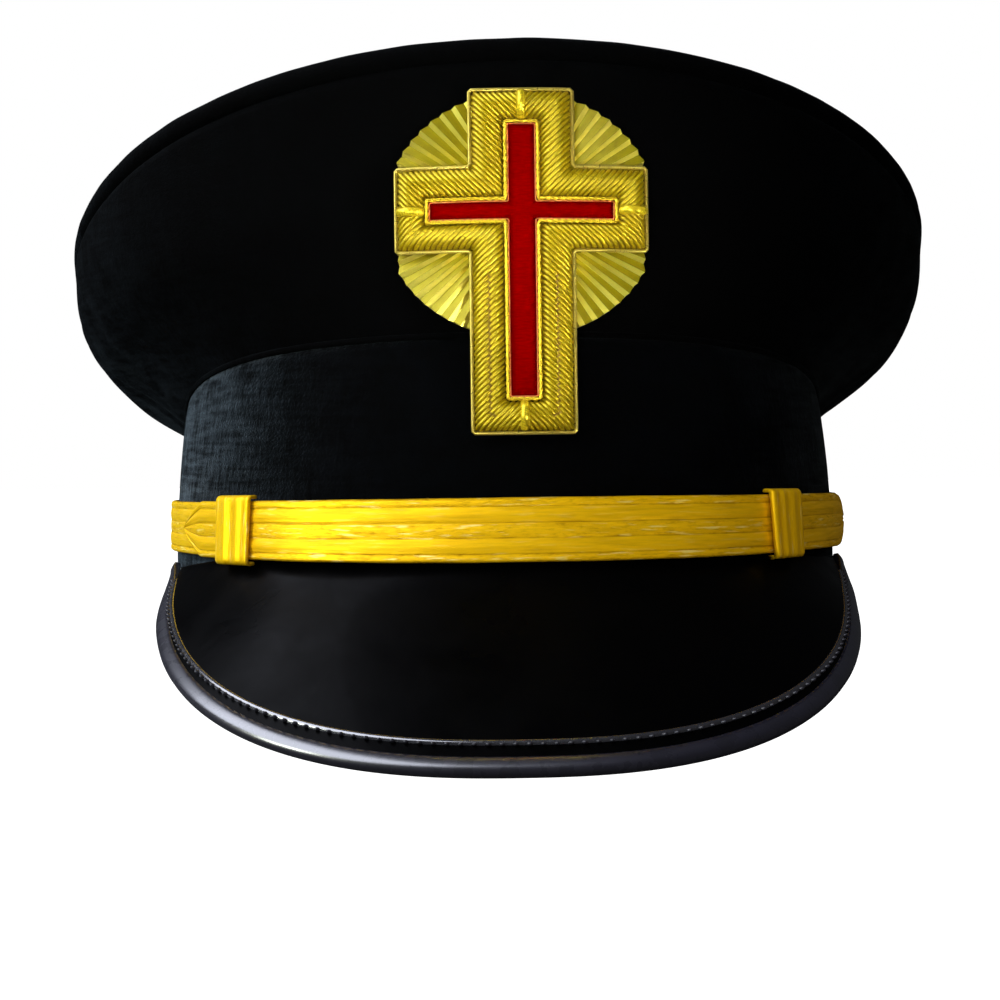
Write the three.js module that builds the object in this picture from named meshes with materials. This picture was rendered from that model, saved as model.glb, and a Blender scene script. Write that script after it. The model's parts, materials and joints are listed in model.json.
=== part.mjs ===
import * as THREE from "three";

// Fatigue cap, in millimetres. It is modelled level: the lower edge of the band is the plane z = 0,
// the peak points along -Y and the wearer's left is +X. The group at the end leans it back until it
// rests on the rear of the band and on the tip of the peak.
const AROUND = 64;
const cloth = 2.5;
const gap = 0.35;
const deg = THREE.MathUtils.degToRad;

function finish(color, metalness, roughness, name) {
  const material = new THREE.MeshStandardMaterial({ color, metalness, roughness });
  material.name = name;
  return material;
}

const crownCloth = finish(0x17171a, 0, 0.9, "crown_cloth");
const bandCloth = finish(0x1a1b20, 0, 0.85, "band_cloth");
const patent = finish(0x060607, 0, 0.15, "patent_leather");
const bound = finish(0x2a2a31, 0, 0.3, "bound_edge");
const lace = finish(0xb98a26, 0.6, 0.4, "gold_lace");
const bullion = finish(0xa87f2c, 0.7, 0.4, "gold_bullion");
const wire = finish(0xc9a24a, 0.9, 0.3, "gold_wire");
const redCloth = finish(0x9c1220, 0, 0.7, "red_cloth");
const brass = finish(0xc29a3e, 1, 0.3, "brass");
const felt = finish(0x1c1a18, 0, 0.95, "backing_felt");

// A point of an oval seen from above. Angle 0 is the front, and positive angles go to +X.
function oval(angle, half, front, back, power) {
  const s = Math.sin(angle);
  const c = Math.cos(angle);
  const reach = c > 0 ? front : back;
  return new THREE.Vector2(
    half * Math.sign(s) * Math.abs(s) ** (2 / power),
    -reach * Math.sign(c) * Math.abs(c) ** (2 / power),
  );
}

// Joins closed sections, each a loop of points, into one closed body.
function loft(sections, ring) {
  const count = sections[0].length;
  const points = sections.flat();
  const faces = [];
  const last = ring ? sections.length : sections.length - 1;
  for (let i = 0; i < last; i++) {
    const next = (i + 1) % sections.length;
    for (let j = 0; j < count; j++) {
      const k = (j + 1) % count;
      const a = i * count + j;
      const b = next * count + j;
      const c = next * count + k;
      const d = i * count + k;
      faces.push([a, b, c], [a, c, d]);
    }
  }
  // The first and last points of a section face each other, so each end closes with short strips.
  if (!ring) {
    for (const [start, turned] of [[0, false], [(sections.length - 1) * count, true]]) {
      for (let j = 0; j < count / 2 - 1; j++) {
        const quad = [j, j + 1, count - 2 - j, count - 1 - j].map((n) => start + n);
        if (turned) quad.reverse();
        faces.push([quad[0], quad[1], quad[2]], [quad[0], quad[2], quad[3]]);
      }
    }
  }
  return body(points, faces);
}

// Makes a geometry of points and triangles, and turns its faces outwards.
function body(points, faces) {
  let volume = 0;
  for (const [a, b, c] of faces) {
    volume += points[a].dot(new THREE.Vector3().crossVectors(points[b], points[c]));
  }
  const geometry = new THREE.BufferGeometry();
  geometry.setAttribute(
    "position",
    new THREE.Float32BufferAttribute(points.flatMap((p) => p.toArray()), 3),
  );
  geometry.setIndex(faces.flatMap(([a, b, c]) => (volume > 0 ? [a, b, c] : [a, c, b])));
  geometry.computeVertexNormals();
  return geometry;
}

const cap = new THREE.Group();
cap.name = "fatigue_cap";

function add(name, geometry, material) {
  const mesh = new THREE.Mesh(geometry, material);
  mesh.name = name;
  cap.add(mesh);
  return mesh;
}

function smooth(value, from, to) {
  return THREE.MathUtils.smoothstep(value, from, to);
}

function angles(count) {
  return Array.from({ length: count }, (_, i) => (i / count) * 2 * Math.PI);
}

function steps(count, from, to) {
  return Array.from({ length: count + 1 }, (_, i) => from + ((to - from) * i) / count);
}

// A ring round the cap has its own height at the side, at the front and at the back. Its hump is
// a rise between side and front, and its tilt is a rise towards +X, in millimetres a millimetre.
function ringPoint(ring, angle, inset = 0) {
  const p = oval(angle, ring.half - inset, ring.front - inset, ring.back - inset, ring.power);
  const away = p.y < 0 ? -p.y / ring.front : p.y / ring.back;
  const end = p.y < 0 ? ring.atFront : ring.atBack;
  const hump = p.y < 0 ? (ring.hump ?? 0) * 4 * away * (1 - away) : 0;
  const height = ring.atSide + (end - ring.atSide) * away + hump + (ring.tilt ?? 0) * p.x;
  return new THREE.Vector3(p.x, p.y, height);
}

// Band: an upright wall that draws in at its lower edge and a little towards its top.
const bandRings = [
  { half: 84.8, front: 101.8, back: 99.8, power: 2.25, atSide: 0, atFront: 0, atBack: 0 },
  { half: 86, front: 103, back: 101, power: 2.25, atSide: 6, atFront: 6, atBack: 6 },
  { half: 86, front: 103, back: 101, power: 2.25, atSide: 30, atFront: 30, atBack: 30 },
  { half: 84.6, front: 102, back: 99.8, power: 2.25, atSide: 49.6, atFront: 47.6, atBack: 47, hump: 2.6 },
];

add(
  "band",
  loft(
    angles(AROUND).map((angle) => [
      ...bandRings.map((ring) => ringPoint(ring, angle)),
      ...[...bandRings].reverse().map((ring) => ringPoint(ring, angle, cloth)),
    ]),
    true,
  ),
  bandCloth,
);

// Crown wall: four quarters of cloth that flare out of the band and swell to the rim.
const crownRings = [
  { half: 84, front: 101.6, back: 99.3, power: 2.25, atSide: 50.2, atFront: 48.2, atBack: 47.6, hump: 2.6 },
  { half: 95.4, front: 107, back: 107.4, power: 2.18, atSide: 59.4, atFront: 62, atBack: 55.8, hump: 2, tilt: 0.004 },
  { half: 106.8, front: 111.4, back: 116.4, power: 2.12, atSide: 67.6, atFront: 76, atBack: 61.2, tilt: 0.008 },
  { half: 113.8, front: 115.6, back: 122.4, power: 2.03, atSide: 77.6, atFront: 91, atBack: 65.4, tilt: 0.011 },
  { half: 115.2, front: 118.8, back: 123.6, power: 2.02, atSide: 86.9, atFront: 104.6, atBack: 68.2, tilt: 0.013 },
];

function crownProfile(angle) {
  return new THREE.CatmullRomCurve3(crownRings.map((ring) => ringPoint(ring, angle)), false, "centripetal");
}

const wallSteps = steps(6, 0, 1);
add(
  "crown_quarters",
  loft(
    angles(AROUND).map((angle) => {
      const here = crownProfile(angle);
      const beside = crownProfile(angle + 0.01);
      const outside = wallSteps.map((s) => here.getPoint(s));
      const inside = wallSteps.map((s) => {
        const point = here.getPoint(s);
        const across = beside.getPoint(s).sub(point);
        const normal = new THREE.Vector3().crossVectors(across, here.getTangent(s)).normalize();
        return point.addScaledVector(normal, -cloth);
      });
      return [...outside, ...inside.reverse()];
    }),
    true,
  ),
  crownCloth,
);

// Rim: a rolled welt where the top meets the wall, in one slanting plane with the top.
const rim = {
  half: 112.8,
  front: 117,
  back: 121.6,
  power: 2.02,
  atSide: 90.9,
  atFront: 108.6,
  atBack: 72.5,
  tilt: 0.013,
};
const weltRadius = 2.9;

add(
  "crown_welt",
  loft(
    angles(AROUND).map((angle) => {
      const centre = ringPoint(rim, angle);
      const outward = new THREE.Vector3(centre.x, centre.y, 0).normalize();
      return angles(8).map((turn) =>
        centre
          .clone()
          .addScaledVector(outward, weltRadius * Math.cos(turn))
          .add(new THREE.Vector3(0, 0, weltRadius * Math.sin(turn))),
      );
    }),
    true,
  ),
  crownCloth,
);

// Top: a flat oval of cloth that sags a little in the middle.
const topSag = 3;
const topRings = [0.3, 0.6, 0.85, 1];

function topPoint(angle, share, height) {
  const edge = ringPoint(rim, angle, weltRadius + gap);
  const slope = (rim.atBack - rim.atFront) / (rim.back + rim.front);
  const y = edge.y * share;
  const sag = topSag * (1 - share * share);
  const level = rim.atSide + y * slope + rim.tilt * edge.x * share;
  return new THREE.Vector3(edge.x * share, y, level + height - sag);
}

function discBody(rings, spokes, place, top, bottom) {
  const points = [place(0, 0, top), place(0, 0, bottom)];
  const faces = [];
  for (const height of [top, bottom]) {
    for (const share of rings) {
      for (const angle of angles(spokes)) points.push(place(angle, share, height));
    }
  }
  const at = (side, ring, spoke) => 2 + (side * rings.length + ring) * spokes + (spoke % spokes);
  for (let i = 0; i < spokes; i++) {
    faces.push([0, at(0, 0, i), at(0, 0, i + 1)], [1, at(1, 0, i + 1), at(1, 0, i)]);
    for (let r = 0; r + 1 < rings.length; r++) {
      faces.push([at(0, r, i), at(0, r + 1, i), at(0, r + 1, i + 1)]);
      faces.push([at(0, r, i), at(0, r + 1, i + 1), at(0, r, i + 1)]);
      faces.push([at(1, r, i), at(1, r + 1, i + 1), at(1, r + 1, i)]);
      faces.push([at(1, r, i), at(1, r, i + 1), at(1, r + 1, i + 1)]);
    }
    const edge = rings.length - 1;
    faces.push([at(0, edge, i), at(1, edge, i), at(1, edge, i + 1)]);
    faces.push([at(0, edge, i), at(1, edge, i + 1), at(0, edge, i + 1)]);
  }
  return body(points, faces);
}

add("crown_top", discBody(topRings, AROUND, topPoint, 1.6, 1.6 - cloth), crownCloth);

// Peak: its root follows the band under the strap, its edge is an oval in a slanting plane that
// runs on to a corner at each end, where the binding alone goes up to the strap.
const peak = {
  rootAngle: deg(65),
  rootHalf: 87.7,
  rootFront: 104.7,
  edgeHalf: 83.3,
  edgeShift: -1,
  shiftFrom: 48,
  shiftTo: 72,
  edgeCentre: -45,
  edgeReach: 97,
  edgePower: 2.45,
  slope: 0.5627,
  levelAt: 28.26,
  lastY: -55.5,
  corner: [[83.5, -43], [83.2, -40]],
  bulge: 1.4,
  rootThick: 1.2,
  edgeThick: 2.2,
};

function rootPoint(u) {
  const p = oval(u * peak.rootAngle, peak.rootHalf, peak.rootFront, peak.rootFront, 2.25);
  return new THREE.Vector3(p.x, p.y, (p.y + peak.rootFront) * 0.1 - 0.6);
}

function edgeHeight(x, y) {
  return new THREE.Vector3(x, y, peak.levelAt + peak.slope * y);
}

const halfEdge = [
  ...steps(16, 0, 1).map((share) => {
    const p = oval(share * (Math.PI / 2), peak.edgeHalf, peak.edgeReach, peak.edgeReach, peak.edgePower);
    return edgeHeight(p.x, p.y + peak.edgeCentre);
  }),
  ...peak.corner.map(([x, y]) => edgeHeight(x, y)),
];
const mirrored = halfEdge
  .slice(1)
  .reverse()
  .map((p) => new THREE.Vector3(-p.x, p.y, p.z));
// Away from its corners the whole rim lies a little towards the wearer's right.
const edgePoints = [...mirrored, ...halfEdge].map((p) =>
  p.clone().setX(p.x + peak.edgeShift * smooth(-p.y, peak.shiftFrom, peak.shiftTo)),
);
const edgeCurve = new THREE.CatmullRomCurve3(edgePoints, false, "centripetal");

// The share of the edge, counted from its middle, at which the sheet of the peak ends.
let sheetShare = 1;
while (edgeCurve.getPointAt((sheetShare + 1) / 2).y > peak.lastY) sheetShare -= 0.001;

function peakCurve(u) {
  const root = rootPoint(u);
  const edge = edgeCurve.getPointAt((u * sheetShare + 1) / 2);
  const way = edge.clone().sub(root);
  const long = way.length();
  const level = new THREE.Vector3(way.x, way.y, 0).normalize();
  const knee = root.clone().addScaledVector(level, long * 0.012).add(new THREE.Vector3(0, 0, -long * 0.12));
  const raised = edge.clone().lerp(root, 0.45).add(new THREE.Vector3(0, 0, (peak.bulge * long) / 64));
  return new THREE.CubicBezierCurve3(root, knee, raised, edge);
}

function peakFrame(u, v) {
  const point = peakCurve(u).getPointAt(v);
  const down = peakCurve(u).getTangentAt(v);
  const across = peakCurve(Math.min(u + 0.01, 1)).getPointAt(v).sub(peakCurve(Math.max(u - 0.01, -1)).getPointAt(v));
  const normal = new THREE.Vector3().crossVectors(down, across).normalize();
  return { point, down, normal };
}

const binding = { reach: 2, thick: 1.8 };

// The edge's own frame: along it, out of the leather, and inwards to the root.
function edgeFrame(share) {
  const point = edgeCurve.getPointAt((share + 1) / 2);
  const along = edgeCurve.getTangentAt((share + 1) / 2);
  const u = THREE.MathUtils.clamp(share / sheetShare, -1, 1);
  const normal = peakFrame(u, 1).normal;
  const past = Math.max(0, Math.abs(share) - sheetShare) / (1 - sheetShare);
  normal.lerp(new THREE.Vector3(Math.sign(share), -0.25, 0).normalize(), past);
  normal.addScaledVector(along, -normal.dot(along)).normalize();
  const inward = new THREE.Vector3().crossVectors(normal, along).normalize();
  return { point, along, normal, inward };
}

const peakAcross = steps(36, -1, 1);

add(
  "peak",
  loft(
    peakAcross.map((u) => {
      const long = peakCurve(u).getLength();
      const { inward } = edgeFrame(u * sheetShare);
      const square = Math.abs(peakFrame(u, 1).down.dot(inward));
      const clear = gap + 0.5 * smooth(Math.abs(u), 0.8, 1);
      const end = 1 - (2 * binding.reach + clear) / square / long;
      const outside = [];
      const inside = [];
      for (const v of steps(5, 0, end)) {
        const { point, normal } = peakFrame(u, v);
        const thick = peak.rootThick + (peak.edgeThick - peak.rootThick) * v;
        outside.push(point.clone());
        inside.push(point.addScaledVector(normal, -thick));
      }
      return [...outside, ...inside.reverse()];
    }),
    false,
  ),
  patent,
);

// Bound edge of the peak: a rounded strip along its rim, from corner to corner.
const cornerSteps = steps(3, sheetShare, 1).slice(1);
add(
  "peak_binding",
  loft(
    [
      ...[...cornerSteps].reverse().map((share) => -share),
      ...peakAcross.map((u) => u * sheetShare),
      ...cornerSteps,
    ].map((share) => {
      const { point, normal, inward } = edgeFrame(share);
      const past = Math.max(0, Math.abs(share) - sheetShare) / (1 - sheetShare);
      const size = 1 - 0.45 * past;
      const centre = point
        .clone()
        .addScaledVector(inward, binding.reach * size)
        .addScaledVector(normal, (-peak.edgeThick / 2) * size);
      return angles(8).map((turn) =>
        centre
          .clone()
          .addScaledVector(inward, -binding.reach * size * Math.cos(turn))
          .addScaledVector(normal, binding.thick * size * Math.sin(turn)),
      );
    }),
    false,
  ),
  bound,
);

// Chin strap: lace across the front, held by two keepers over two short straps with a button each.
const strap = { height: 13.2, wider: 1, frontAt: 3, slope: 0.215, thick: 1.6, front: 103, half: 86, back: 101 };

function strapPoint(angle, share, offset) {
  const p = oval(angle, strap.half + offset, strap.front + offset, strap.back + offset, 2.25);
  const height = strap.height + strap.wider * Math.max(0, Math.cos(angle)) ** 4;
  return new THREE.Vector3(
    p.x,
    p.y,
    strap.frontAt + (p.y + 105) * strap.slope + share * (height / 2),
  );
}

function strapOffset(angle, share) {
  const front = 1 - smooth(Math.abs(angle), deg(20), deg(50));
  const inmost = 1 - smooth(Math.abs(angle), deg(16), deg(34));
  const low = 2.4 + 1.9 * front;
  const top = 2.4 - 1.2 * inmost;
  return low + ((top - low) * (share + 1)) / 2;
}

function strapBody(from, to, count, shape, offsetAt, thick) {
  return loft(
    steps(count, 0, 1).map((s) => {
      const angle = from + (to - from) * s;
      const reach = shape(s);
      const row = [];
      for (const share of [-reach, 0, reach]) {
        row.push(strapPoint(angle, share, offsetAt(angle, share) + thick));
      }
      for (const share of [reach, 0, -reach]) {
        row.push(strapPoint(angle, share, offsetAt(angle, share)));
      }
      return row;
    }),
    false,
  );
}

const tongue = { left: deg(-58.5), right: deg(67) };

add(
  "chin_strap",
  strapBody(
    tongue.left,
    tongue.right,
    56,
    (s) => {
      const pointed = Math.min(1, 0.08 + s * 22);
      const fromRight = Math.min(1, (1 - s) * 24);
      const rounded = Math.sqrt(Math.max(0, 1 - (1 - fromRight) ** 2));
      return Math.max(0.05, Math.min(pointed, 0.3 + 0.7 * rounded));
    },
    strapOffset,
    strap.thick,
  ),
  lace,
);

const under = { from: 102, to: 50, thick: 1.4, offset: 0.55, reach: 0.96 };
for (const [side, sign] of [["left", -1], ["right", 1]]) {
  add(
    "strap_end_" + side,
    strapBody(
      deg(sign * under.from),
      deg(sign * under.to),
      18,
      (s) => under.reach * Math.min(1, 0.4 + s * 9),
      () => under.offset,
      under.thick,
    ),
    lace,
  );
}

// Keepers: flat loops that wrap the front and both edges of the strap.
const keepers = {
  left: { from: -46, to: -38.6 },
  right: { from: 37.6, to: 45.2 },
};
for (const [side, keeper] of Object.entries(keepers)) {
  const near = strap.thick + 0.6;
  const far = near + 1;
  const inner = 1.07;
  const outer = 1.18;
  add(
    "strap_keeper_" + side,
    loft(
      steps(4, deg(keeper.from), deg(keeper.to)).map((angle) => {
        const at = (share, offset) => strapPoint(angle, share, strapOffset(angle, share) + offset);
        return [
          at(-outer, 0.3),
          at(-outer, far - 0.3),
          at(-inner, far),
          at(inner, far),
          at(outer, far - 0.3),
          at(outer, 0.3),
          at(inner, 0.3),
          at(inner, near),
          at(-inner, near),
          at(-inner, 0.3),
        ];
      }),
      false,
    ),
    lace,
  );
}

// Side buttons: small domes on the rear ends of the short straps.
const button = { angle: 98, radius: 6.2, profile: [[0, 0], [5.4, 0], [6.2, 0.7], [5.8, 1.9], [3.6, 3.3], [0, 3.9]] };
for (const [side, sign] of [["left", -1], ["right", 1]]) {
  const place = strapPoint(deg(sign * button.angle), 0, under.offset + under.thick + 2 * gap);
  const dome = new THREE.LatheGeometry(button.profile.map(([r, h]) => new THREE.Vector2(r, h)), 20);
  const turned = sign > 0 ? -Math.PI / 2 : Math.PI / 2;
  dome.rotateZ(turned);
  dome.translate(place.x, place.y, place.z);
  add("side_button_" + side, dome, brass);
}

// Badge: drawn flat, u across, v up and w outwards from the centre of the cross, then bent round
// the front of the crown and leaned forward with it.
const badge = { x: 2.2, y: -113, z: 72.5, lean: deg(10.5), bend: 112 };

function onBadge(u, v, w) {
  const turn = u / badge.bend;
  const out = (badge.bend + w) * Math.cos(turn) - badge.bend;
  return new THREE.Vector3(
    badge.x + (badge.bend + w) * Math.sin(turn),
    badge.y - v * Math.sin(badge.lean) - out * Math.cos(badge.lean),
    badge.z + v * Math.cos(badge.lean) - out * Math.sin(badge.lean),
  );
}

// Rayed disc: ridges and grooves run out from the centre, six ridges to a quarter.
// Beside the arms of the cross it is cut off straight, so that it doesn't show there.
const disc = { across: 30.6, up: 27.2, middle: -0.6, cut: 27.3, spokes: 48, ridge: 1.4, groove: 0.9 };
add(
  "badge_disc",
  discBody(
    [0.32, 0.66, 1],
    disc.spokes,
    (angle, share, height) => {
      const spoke = Math.round((angle / (2 * Math.PI)) * disc.spokes);
      const groove = spoke % 2 === 0;
      const reach = share * (groove && share === 1 ? 0.985 : 1);
      const relief = height > 0 && groove && share > 0 ? disc.groove : height;
      const u = THREE.MathUtils.clamp(disc.across * reach * Math.sin(angle), -disc.cut, disc.cut);
      const v = disc.middle + disc.up * reach * Math.cos(angle);
      return onBadge(u, v, relief);
    },
    disc.ridge,
    0,
  ),
  bullion,
);

// A cross is stated by the half width of its shaft, its top and foot, and the reach, upper and
// lower edge of its arms.
function crossOutline(cross) {
  const { shaft, top, foot, arm, over, below } = cross;
  return [
    [shaft, top],
    [-shaft, top],
    [-shaft, over],
    [-arm, over],
    [-arm, below],
    [-shaft, below],
    [-shaft, foot],
    [shaft, foot],
    [shaft, below],
    [arm, below],
    [arm, over],
    [shaft, over],
  ];
}

// The sides of a cross in short pieces, so that they bend with the badge.
const sidePieces = [4, 2, 3, 3, 3, 4, 4, 4, 3, 3, 3, 2];
function crossPath(cross) {
  const corners = crossOutline(cross);
  return corners.flatMap(([u, v], i) => {
    const [u2, v2] = corners[(i + 1) % corners.length];
    return steps(sidePieces[i], 0, 1)
      .slice(0, -1)
      .map((s) => [u + (u2 - u) * s, v + (v2 - v) * s]);
  });
}

function grown(cross, by) {
  return {
    shaft: cross.shaft + by,
    top: cross.top + by,
    foot: cross.foot - by,
    arm: cross.arm + by,
    over: cross.over + by,
    below: cross.below - by,
  };
}

const outline = { shaft: 11.5, top: 27, foot: -49.1, arm: 27.8, over: 10.1, below: -9.1 };
const redShape = { shaft: 3, top: 19.1, foot: -40.8, arm: 20, over: 2.1, below: -1.9 };
const frameOuter = grown(outline, -0.9);
const frameInner = grown(redShape, 1.1);
const base = 1.7;
const frameProfile = [
  [0, 0.7],
  [0.18, 2],
  [0.45, 2.7],
  [0.75, 2.3],
  [1, 0.9],
];

function crossBand(from, to, profile, floor) {
  const outer = crossPath(from);
  const inner = crossPath(to);
  return loft(
    outer.map(([u, v], i) => {
      const at = (share, w) =>
        onBadge(u + (inner[i][0] - u) * share, v + (inner[i][1] - v) * share, w);
      return [at(0, floor), ...profile.map(([share, h]) => at(share, floor + h)), at(1, floor)];
    }),
    true,
  );
}

add("badge_frame", crossBand(frameOuter, frameInner, frameProfile, base), bullion);
add("badge_wire", crossBand(outline, grown(outline, -0.75), [[0, 0.6], [0.5, 1], [1, 0.6]], base), wire);
add("badge_cord", crossBand(grown(redShape, 0.95), redShape, [[0, 0.7], [0.5, 1.1], [1, 0.7]], base + 0.7), wire);

// Red field: a thin plate inside the frame.
const fieldPath = crossPath(grown(redShape, 0.95));
const fieldFaces = THREE.ShapeUtils.triangulateShape(
  fieldPath.map(([u, v]) => new THREE.Vector2(u, v)),
  [],
);
const fieldPoints = [base + 0.6, base + 0.1].flatMap((w) => fieldPath.map(([u, v]) => onBadge(u, v, w)));
const many = fieldPath.length;
const fieldSkin = fieldFaces.flatMap(([a, b, c]) => [
  [a, b, c],
  [a + many, c + many, b + many],
]);
for (let i = 0; i < many; i++) {
  const j = (i + 1) % many;
  fieldSkin.push([i, i + many, j + many], [i, j + many, j]);
}
add("badge_field", body(fieldPoints, fieldSkin), redCloth);

// Short bars lie over the frame at the end of each arm.
const bars = {
  top: { start: [0, frameOuter.top], end: [0, frameInner.top] },
  foot: { start: [0, frameOuter.foot], end: [0, frameInner.foot] },
  left: { start: [-frameOuter.arm, 0], end: [-frameInner.arm, 0] },
  right: { start: [frameOuter.arm, 0], end: [frameInner.arm, 0] },
};
for (const [name, bar] of Object.entries(bars)) {
  const [du, dv] = [bar.end[0] - bar.start[0], bar.end[1] - bar.start[1]];
  const long = Math.hypot(du, dv);
  const aside = [(-dv / long) * 0.65, (du / long) * 0.65];
  add(
    "badge_bar_" + name,
    loft(
      frameProfile.slice(1, -1).map(([share, h]) => {
        const [u, v] = [bar.start[0] + du * share, bar.start[1] + dv * share];
        return [
          [-1, 0.12],
          [-1, 0.9],
          [1, 0.9],
          [1, 0.12],
        ].map(([side, rise]) => onBadge(u + aside[0] * side, v + aside[1] * side, base + h + rise));
      }),
      false,
    ),
    wire,
  );
}

// Backing of the shaft's lower part, which hangs clear of the band.
const backing = { half: 10.2, top: -29.6, foot: -47.9, front: 1.35, backTop: -2.6, backFoot: -0.6 };
add(
  "badge_backing",
  loft(
    steps(4, -backing.half, backing.half).map((u) => [
      onBadge(u, backing.top, backing.front),
      onBadge(u, backing.foot, backing.front),
      onBadge(u, backing.foot, backing.backFoot),
      onBadge(u, backing.top, backing.backTop),
    ]),
    false,
  ),
  felt,
);

// Lean the cap back until the band's rear and the peak's tip are on the same level.
function lowest(name, lean) {
  const place = cap.getObjectByName(name).geometry.getAttribute("position");
  let low = Infinity;
  for (let i = 0; i < place.count; i++) {
    low = Math.min(low, place.getZ(i) * Math.cos(lean) - place.getY(i) * Math.sin(lean));
  }
  return low;
}

let less = deg(5);
let more = deg(20);
for (let i = 0; i < 60; i++) {
  const lean = (less + more) / 2;
  if (lowest("band", lean) > lowest("peak_binding", lean)) less = lean;
  else more = lean;
}
cap.rotation.x = -less;
cap.position.z = -lowest("band", less);

// The group's origin is under the middle of the leaning cap.
cap.updateMatrixWorld(true);
const extent = new THREE.Box3().setFromObject(cap, true);
cap.position.y = -(extent.min.y + extent.max.y) / 2;
cap.position.x = -(extent.min.x + extent.max.x) / 2;
console.log("lean", THREE.MathUtils.radToDeg(less).toFixed(3), "moved", cap.position.toArray());

export default cap;
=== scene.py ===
import json
import math

import bpy
from mathutils import Matrix, Vector, noise

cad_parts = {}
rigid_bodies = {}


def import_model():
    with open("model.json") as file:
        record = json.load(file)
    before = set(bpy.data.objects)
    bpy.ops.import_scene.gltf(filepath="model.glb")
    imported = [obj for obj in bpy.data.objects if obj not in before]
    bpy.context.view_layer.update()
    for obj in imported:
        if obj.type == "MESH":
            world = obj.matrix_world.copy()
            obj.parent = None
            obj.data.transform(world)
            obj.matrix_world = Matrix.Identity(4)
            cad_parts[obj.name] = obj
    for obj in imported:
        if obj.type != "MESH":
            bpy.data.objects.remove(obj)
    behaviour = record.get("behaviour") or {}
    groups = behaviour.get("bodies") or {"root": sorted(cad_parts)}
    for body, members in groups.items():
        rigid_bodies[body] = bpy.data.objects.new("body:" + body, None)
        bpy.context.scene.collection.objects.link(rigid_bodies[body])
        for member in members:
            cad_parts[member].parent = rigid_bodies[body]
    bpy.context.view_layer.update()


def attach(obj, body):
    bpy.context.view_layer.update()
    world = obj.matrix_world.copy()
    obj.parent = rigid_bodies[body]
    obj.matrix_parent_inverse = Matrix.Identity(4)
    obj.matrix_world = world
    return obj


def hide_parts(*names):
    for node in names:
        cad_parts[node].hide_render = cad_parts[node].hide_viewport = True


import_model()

# The cap is worked out level and in millimetres, with the lower edge of the band at height 0, the
# peak towards -Y and the wearer's left at +X. This matrix leans it back until it rests, in metres.
capLean = math.radians(12.365)
capPlace = (
    Matrix.Translation((0, 0.006159, 0.021371))
    @ Matrix.Rotation(-capLean, 4, "X")
    @ Matrix.Scale(0.001, 4)
)


# Meshes.


def smoothStep(value, low, high):
    share = min(1, max(0, (value - low) / (high - low)))
    return share * share * (3 - 2 * share)


def steps(count, low, high):
    return [low + (high - low) * i / count for i in range(count + 1)]


def blendAt(table, share):
    # Reads a table of [share, value] rows, eased between its rows.
    for (before, low), (after, high) in zip(table, table[1:]):
        if share <= after:
            return low + (high - low) * smoothStep(share, before, after)
    return table[-1][1]


def dress(piece, material, nodes=()):
    if material and not piece.data.materials:
        piece.data.materials.append(material)
    for polygon in piece.data.polygons:
        polygon.use_smooth = True
    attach(piece, "root")
    if nodes:
        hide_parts(*nodes)
    return piece


def addObject(name, data):
    made = bpy.data.objects.new(name, data)
    bpy.context.collection.objects.link(made)
    return made


def makeMesh(name, points, faces, uvs=None):
    mesh = bpy.data.meshes.new(name)
    mesh.from_pydata([tuple(p) for p in points], [], faces)
    if uvs:
        layer = mesh.uv_layers.new(name="UVMap")
        for loop in mesh.loops:
            layer.data[loop.index].uv = uvs[loop.vertex_index]
    mesh.transform(capPlace)
    mesh.update()
    return addObject(name, mesh)


def turnOut(points, faces):
    # Turns the faces of a closed body outwards by the sign of its volume.
    volume = 0
    for face in faces:
        a = points[face[0]]
        for i in range(1, len(face) - 1):
            volume += a.dot(points[face[i]].cross(points[face[i + 1]]))
    return faces if volume > 0 else [face[::-1] for face in faces]


def loft(sections, closed):
    # Joins loops of points into one body: closed into a ring, or else capped at both ends.
    count = len(sections[0])
    points = [p for section in sections for p in section]
    faces = []
    for i in range(len(sections) if closed else len(sections) - 1):
        a = i * count
        b = (i + 1) % len(sections) * count
        for j in range(count):
            k = (j + 1) % count
            faces.append([a + j, b + j, b + k, a + k])
    if not closed:
        last = (len(sections) - 1) * count
        for j in range(count // 2 - 1):
            pair = [j, j + 1, count - 2 - j, count - 1 - j]
            faces.append(pair)
            faces.append([last + n for n in pair[::-1]])
    return points, turnOut(points, faces)


# Nodes.


def feed(tree, node, inputs):
    # Each input takes a link where its value is another node's output, and a fixed value otherwise.
    for socket, value in inputs.items():
        if isinstance(value, bpy.types.NodeSocket):
            tree.links.new(value, node.inputs[socket])
        else:
            node.inputs[socket].default_value = value


def addNode(tree, kind, inputs=None, **settings):
    made = tree.nodes.new(kind)
    for key, value in settings.items():
        setattr(made, key, value)
    feed(tree, made, inputs or {})
    return made


def math2(tree, operation, a, b=0.0):
    return addNode(tree, "ShaderNodeMath", {0: a, 1: b}, operation=operation).outputs[0]


def addSockets(group, direction, sockets):
    for label, kind in sockets.items():
        group.interface.new_socket(name=label, in_out=direction, socket_type="NodeSocket" + kind)


def unevenSize(tree, start, each=None):
    # A random size on either side of 1, for each spline or point.
    low = math2(tree, "SUBTRACT", 1.0, start.outputs["Unevenness"])
    high = math2(tree, "ADD", 1.0, start.outputs["Unevenness"])
    size = addNode(tree, "FunctionNodeRandomValue", {
        2: low, 3: high, "Seed": start.outputs["Seed"],
    }, data_type="FLOAT")
    if each:
        tree.links.new(each, size.inputs["ID"])
    return size.outputs[1]


def endTree(tree, start, geometry):
    real = addNode(tree, "GeometryNodeRealizeInstances", {0: geometry})
    paint = addNode(
        tree, "GeometryNodeSetMaterial",
        {"Geometry": real.outputs[0], "Material": start.outputs["Material"]},
    )
    addNode(tree, "NodeGroupOutput", {0: paint.outputs[0]})
    return tree


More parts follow.
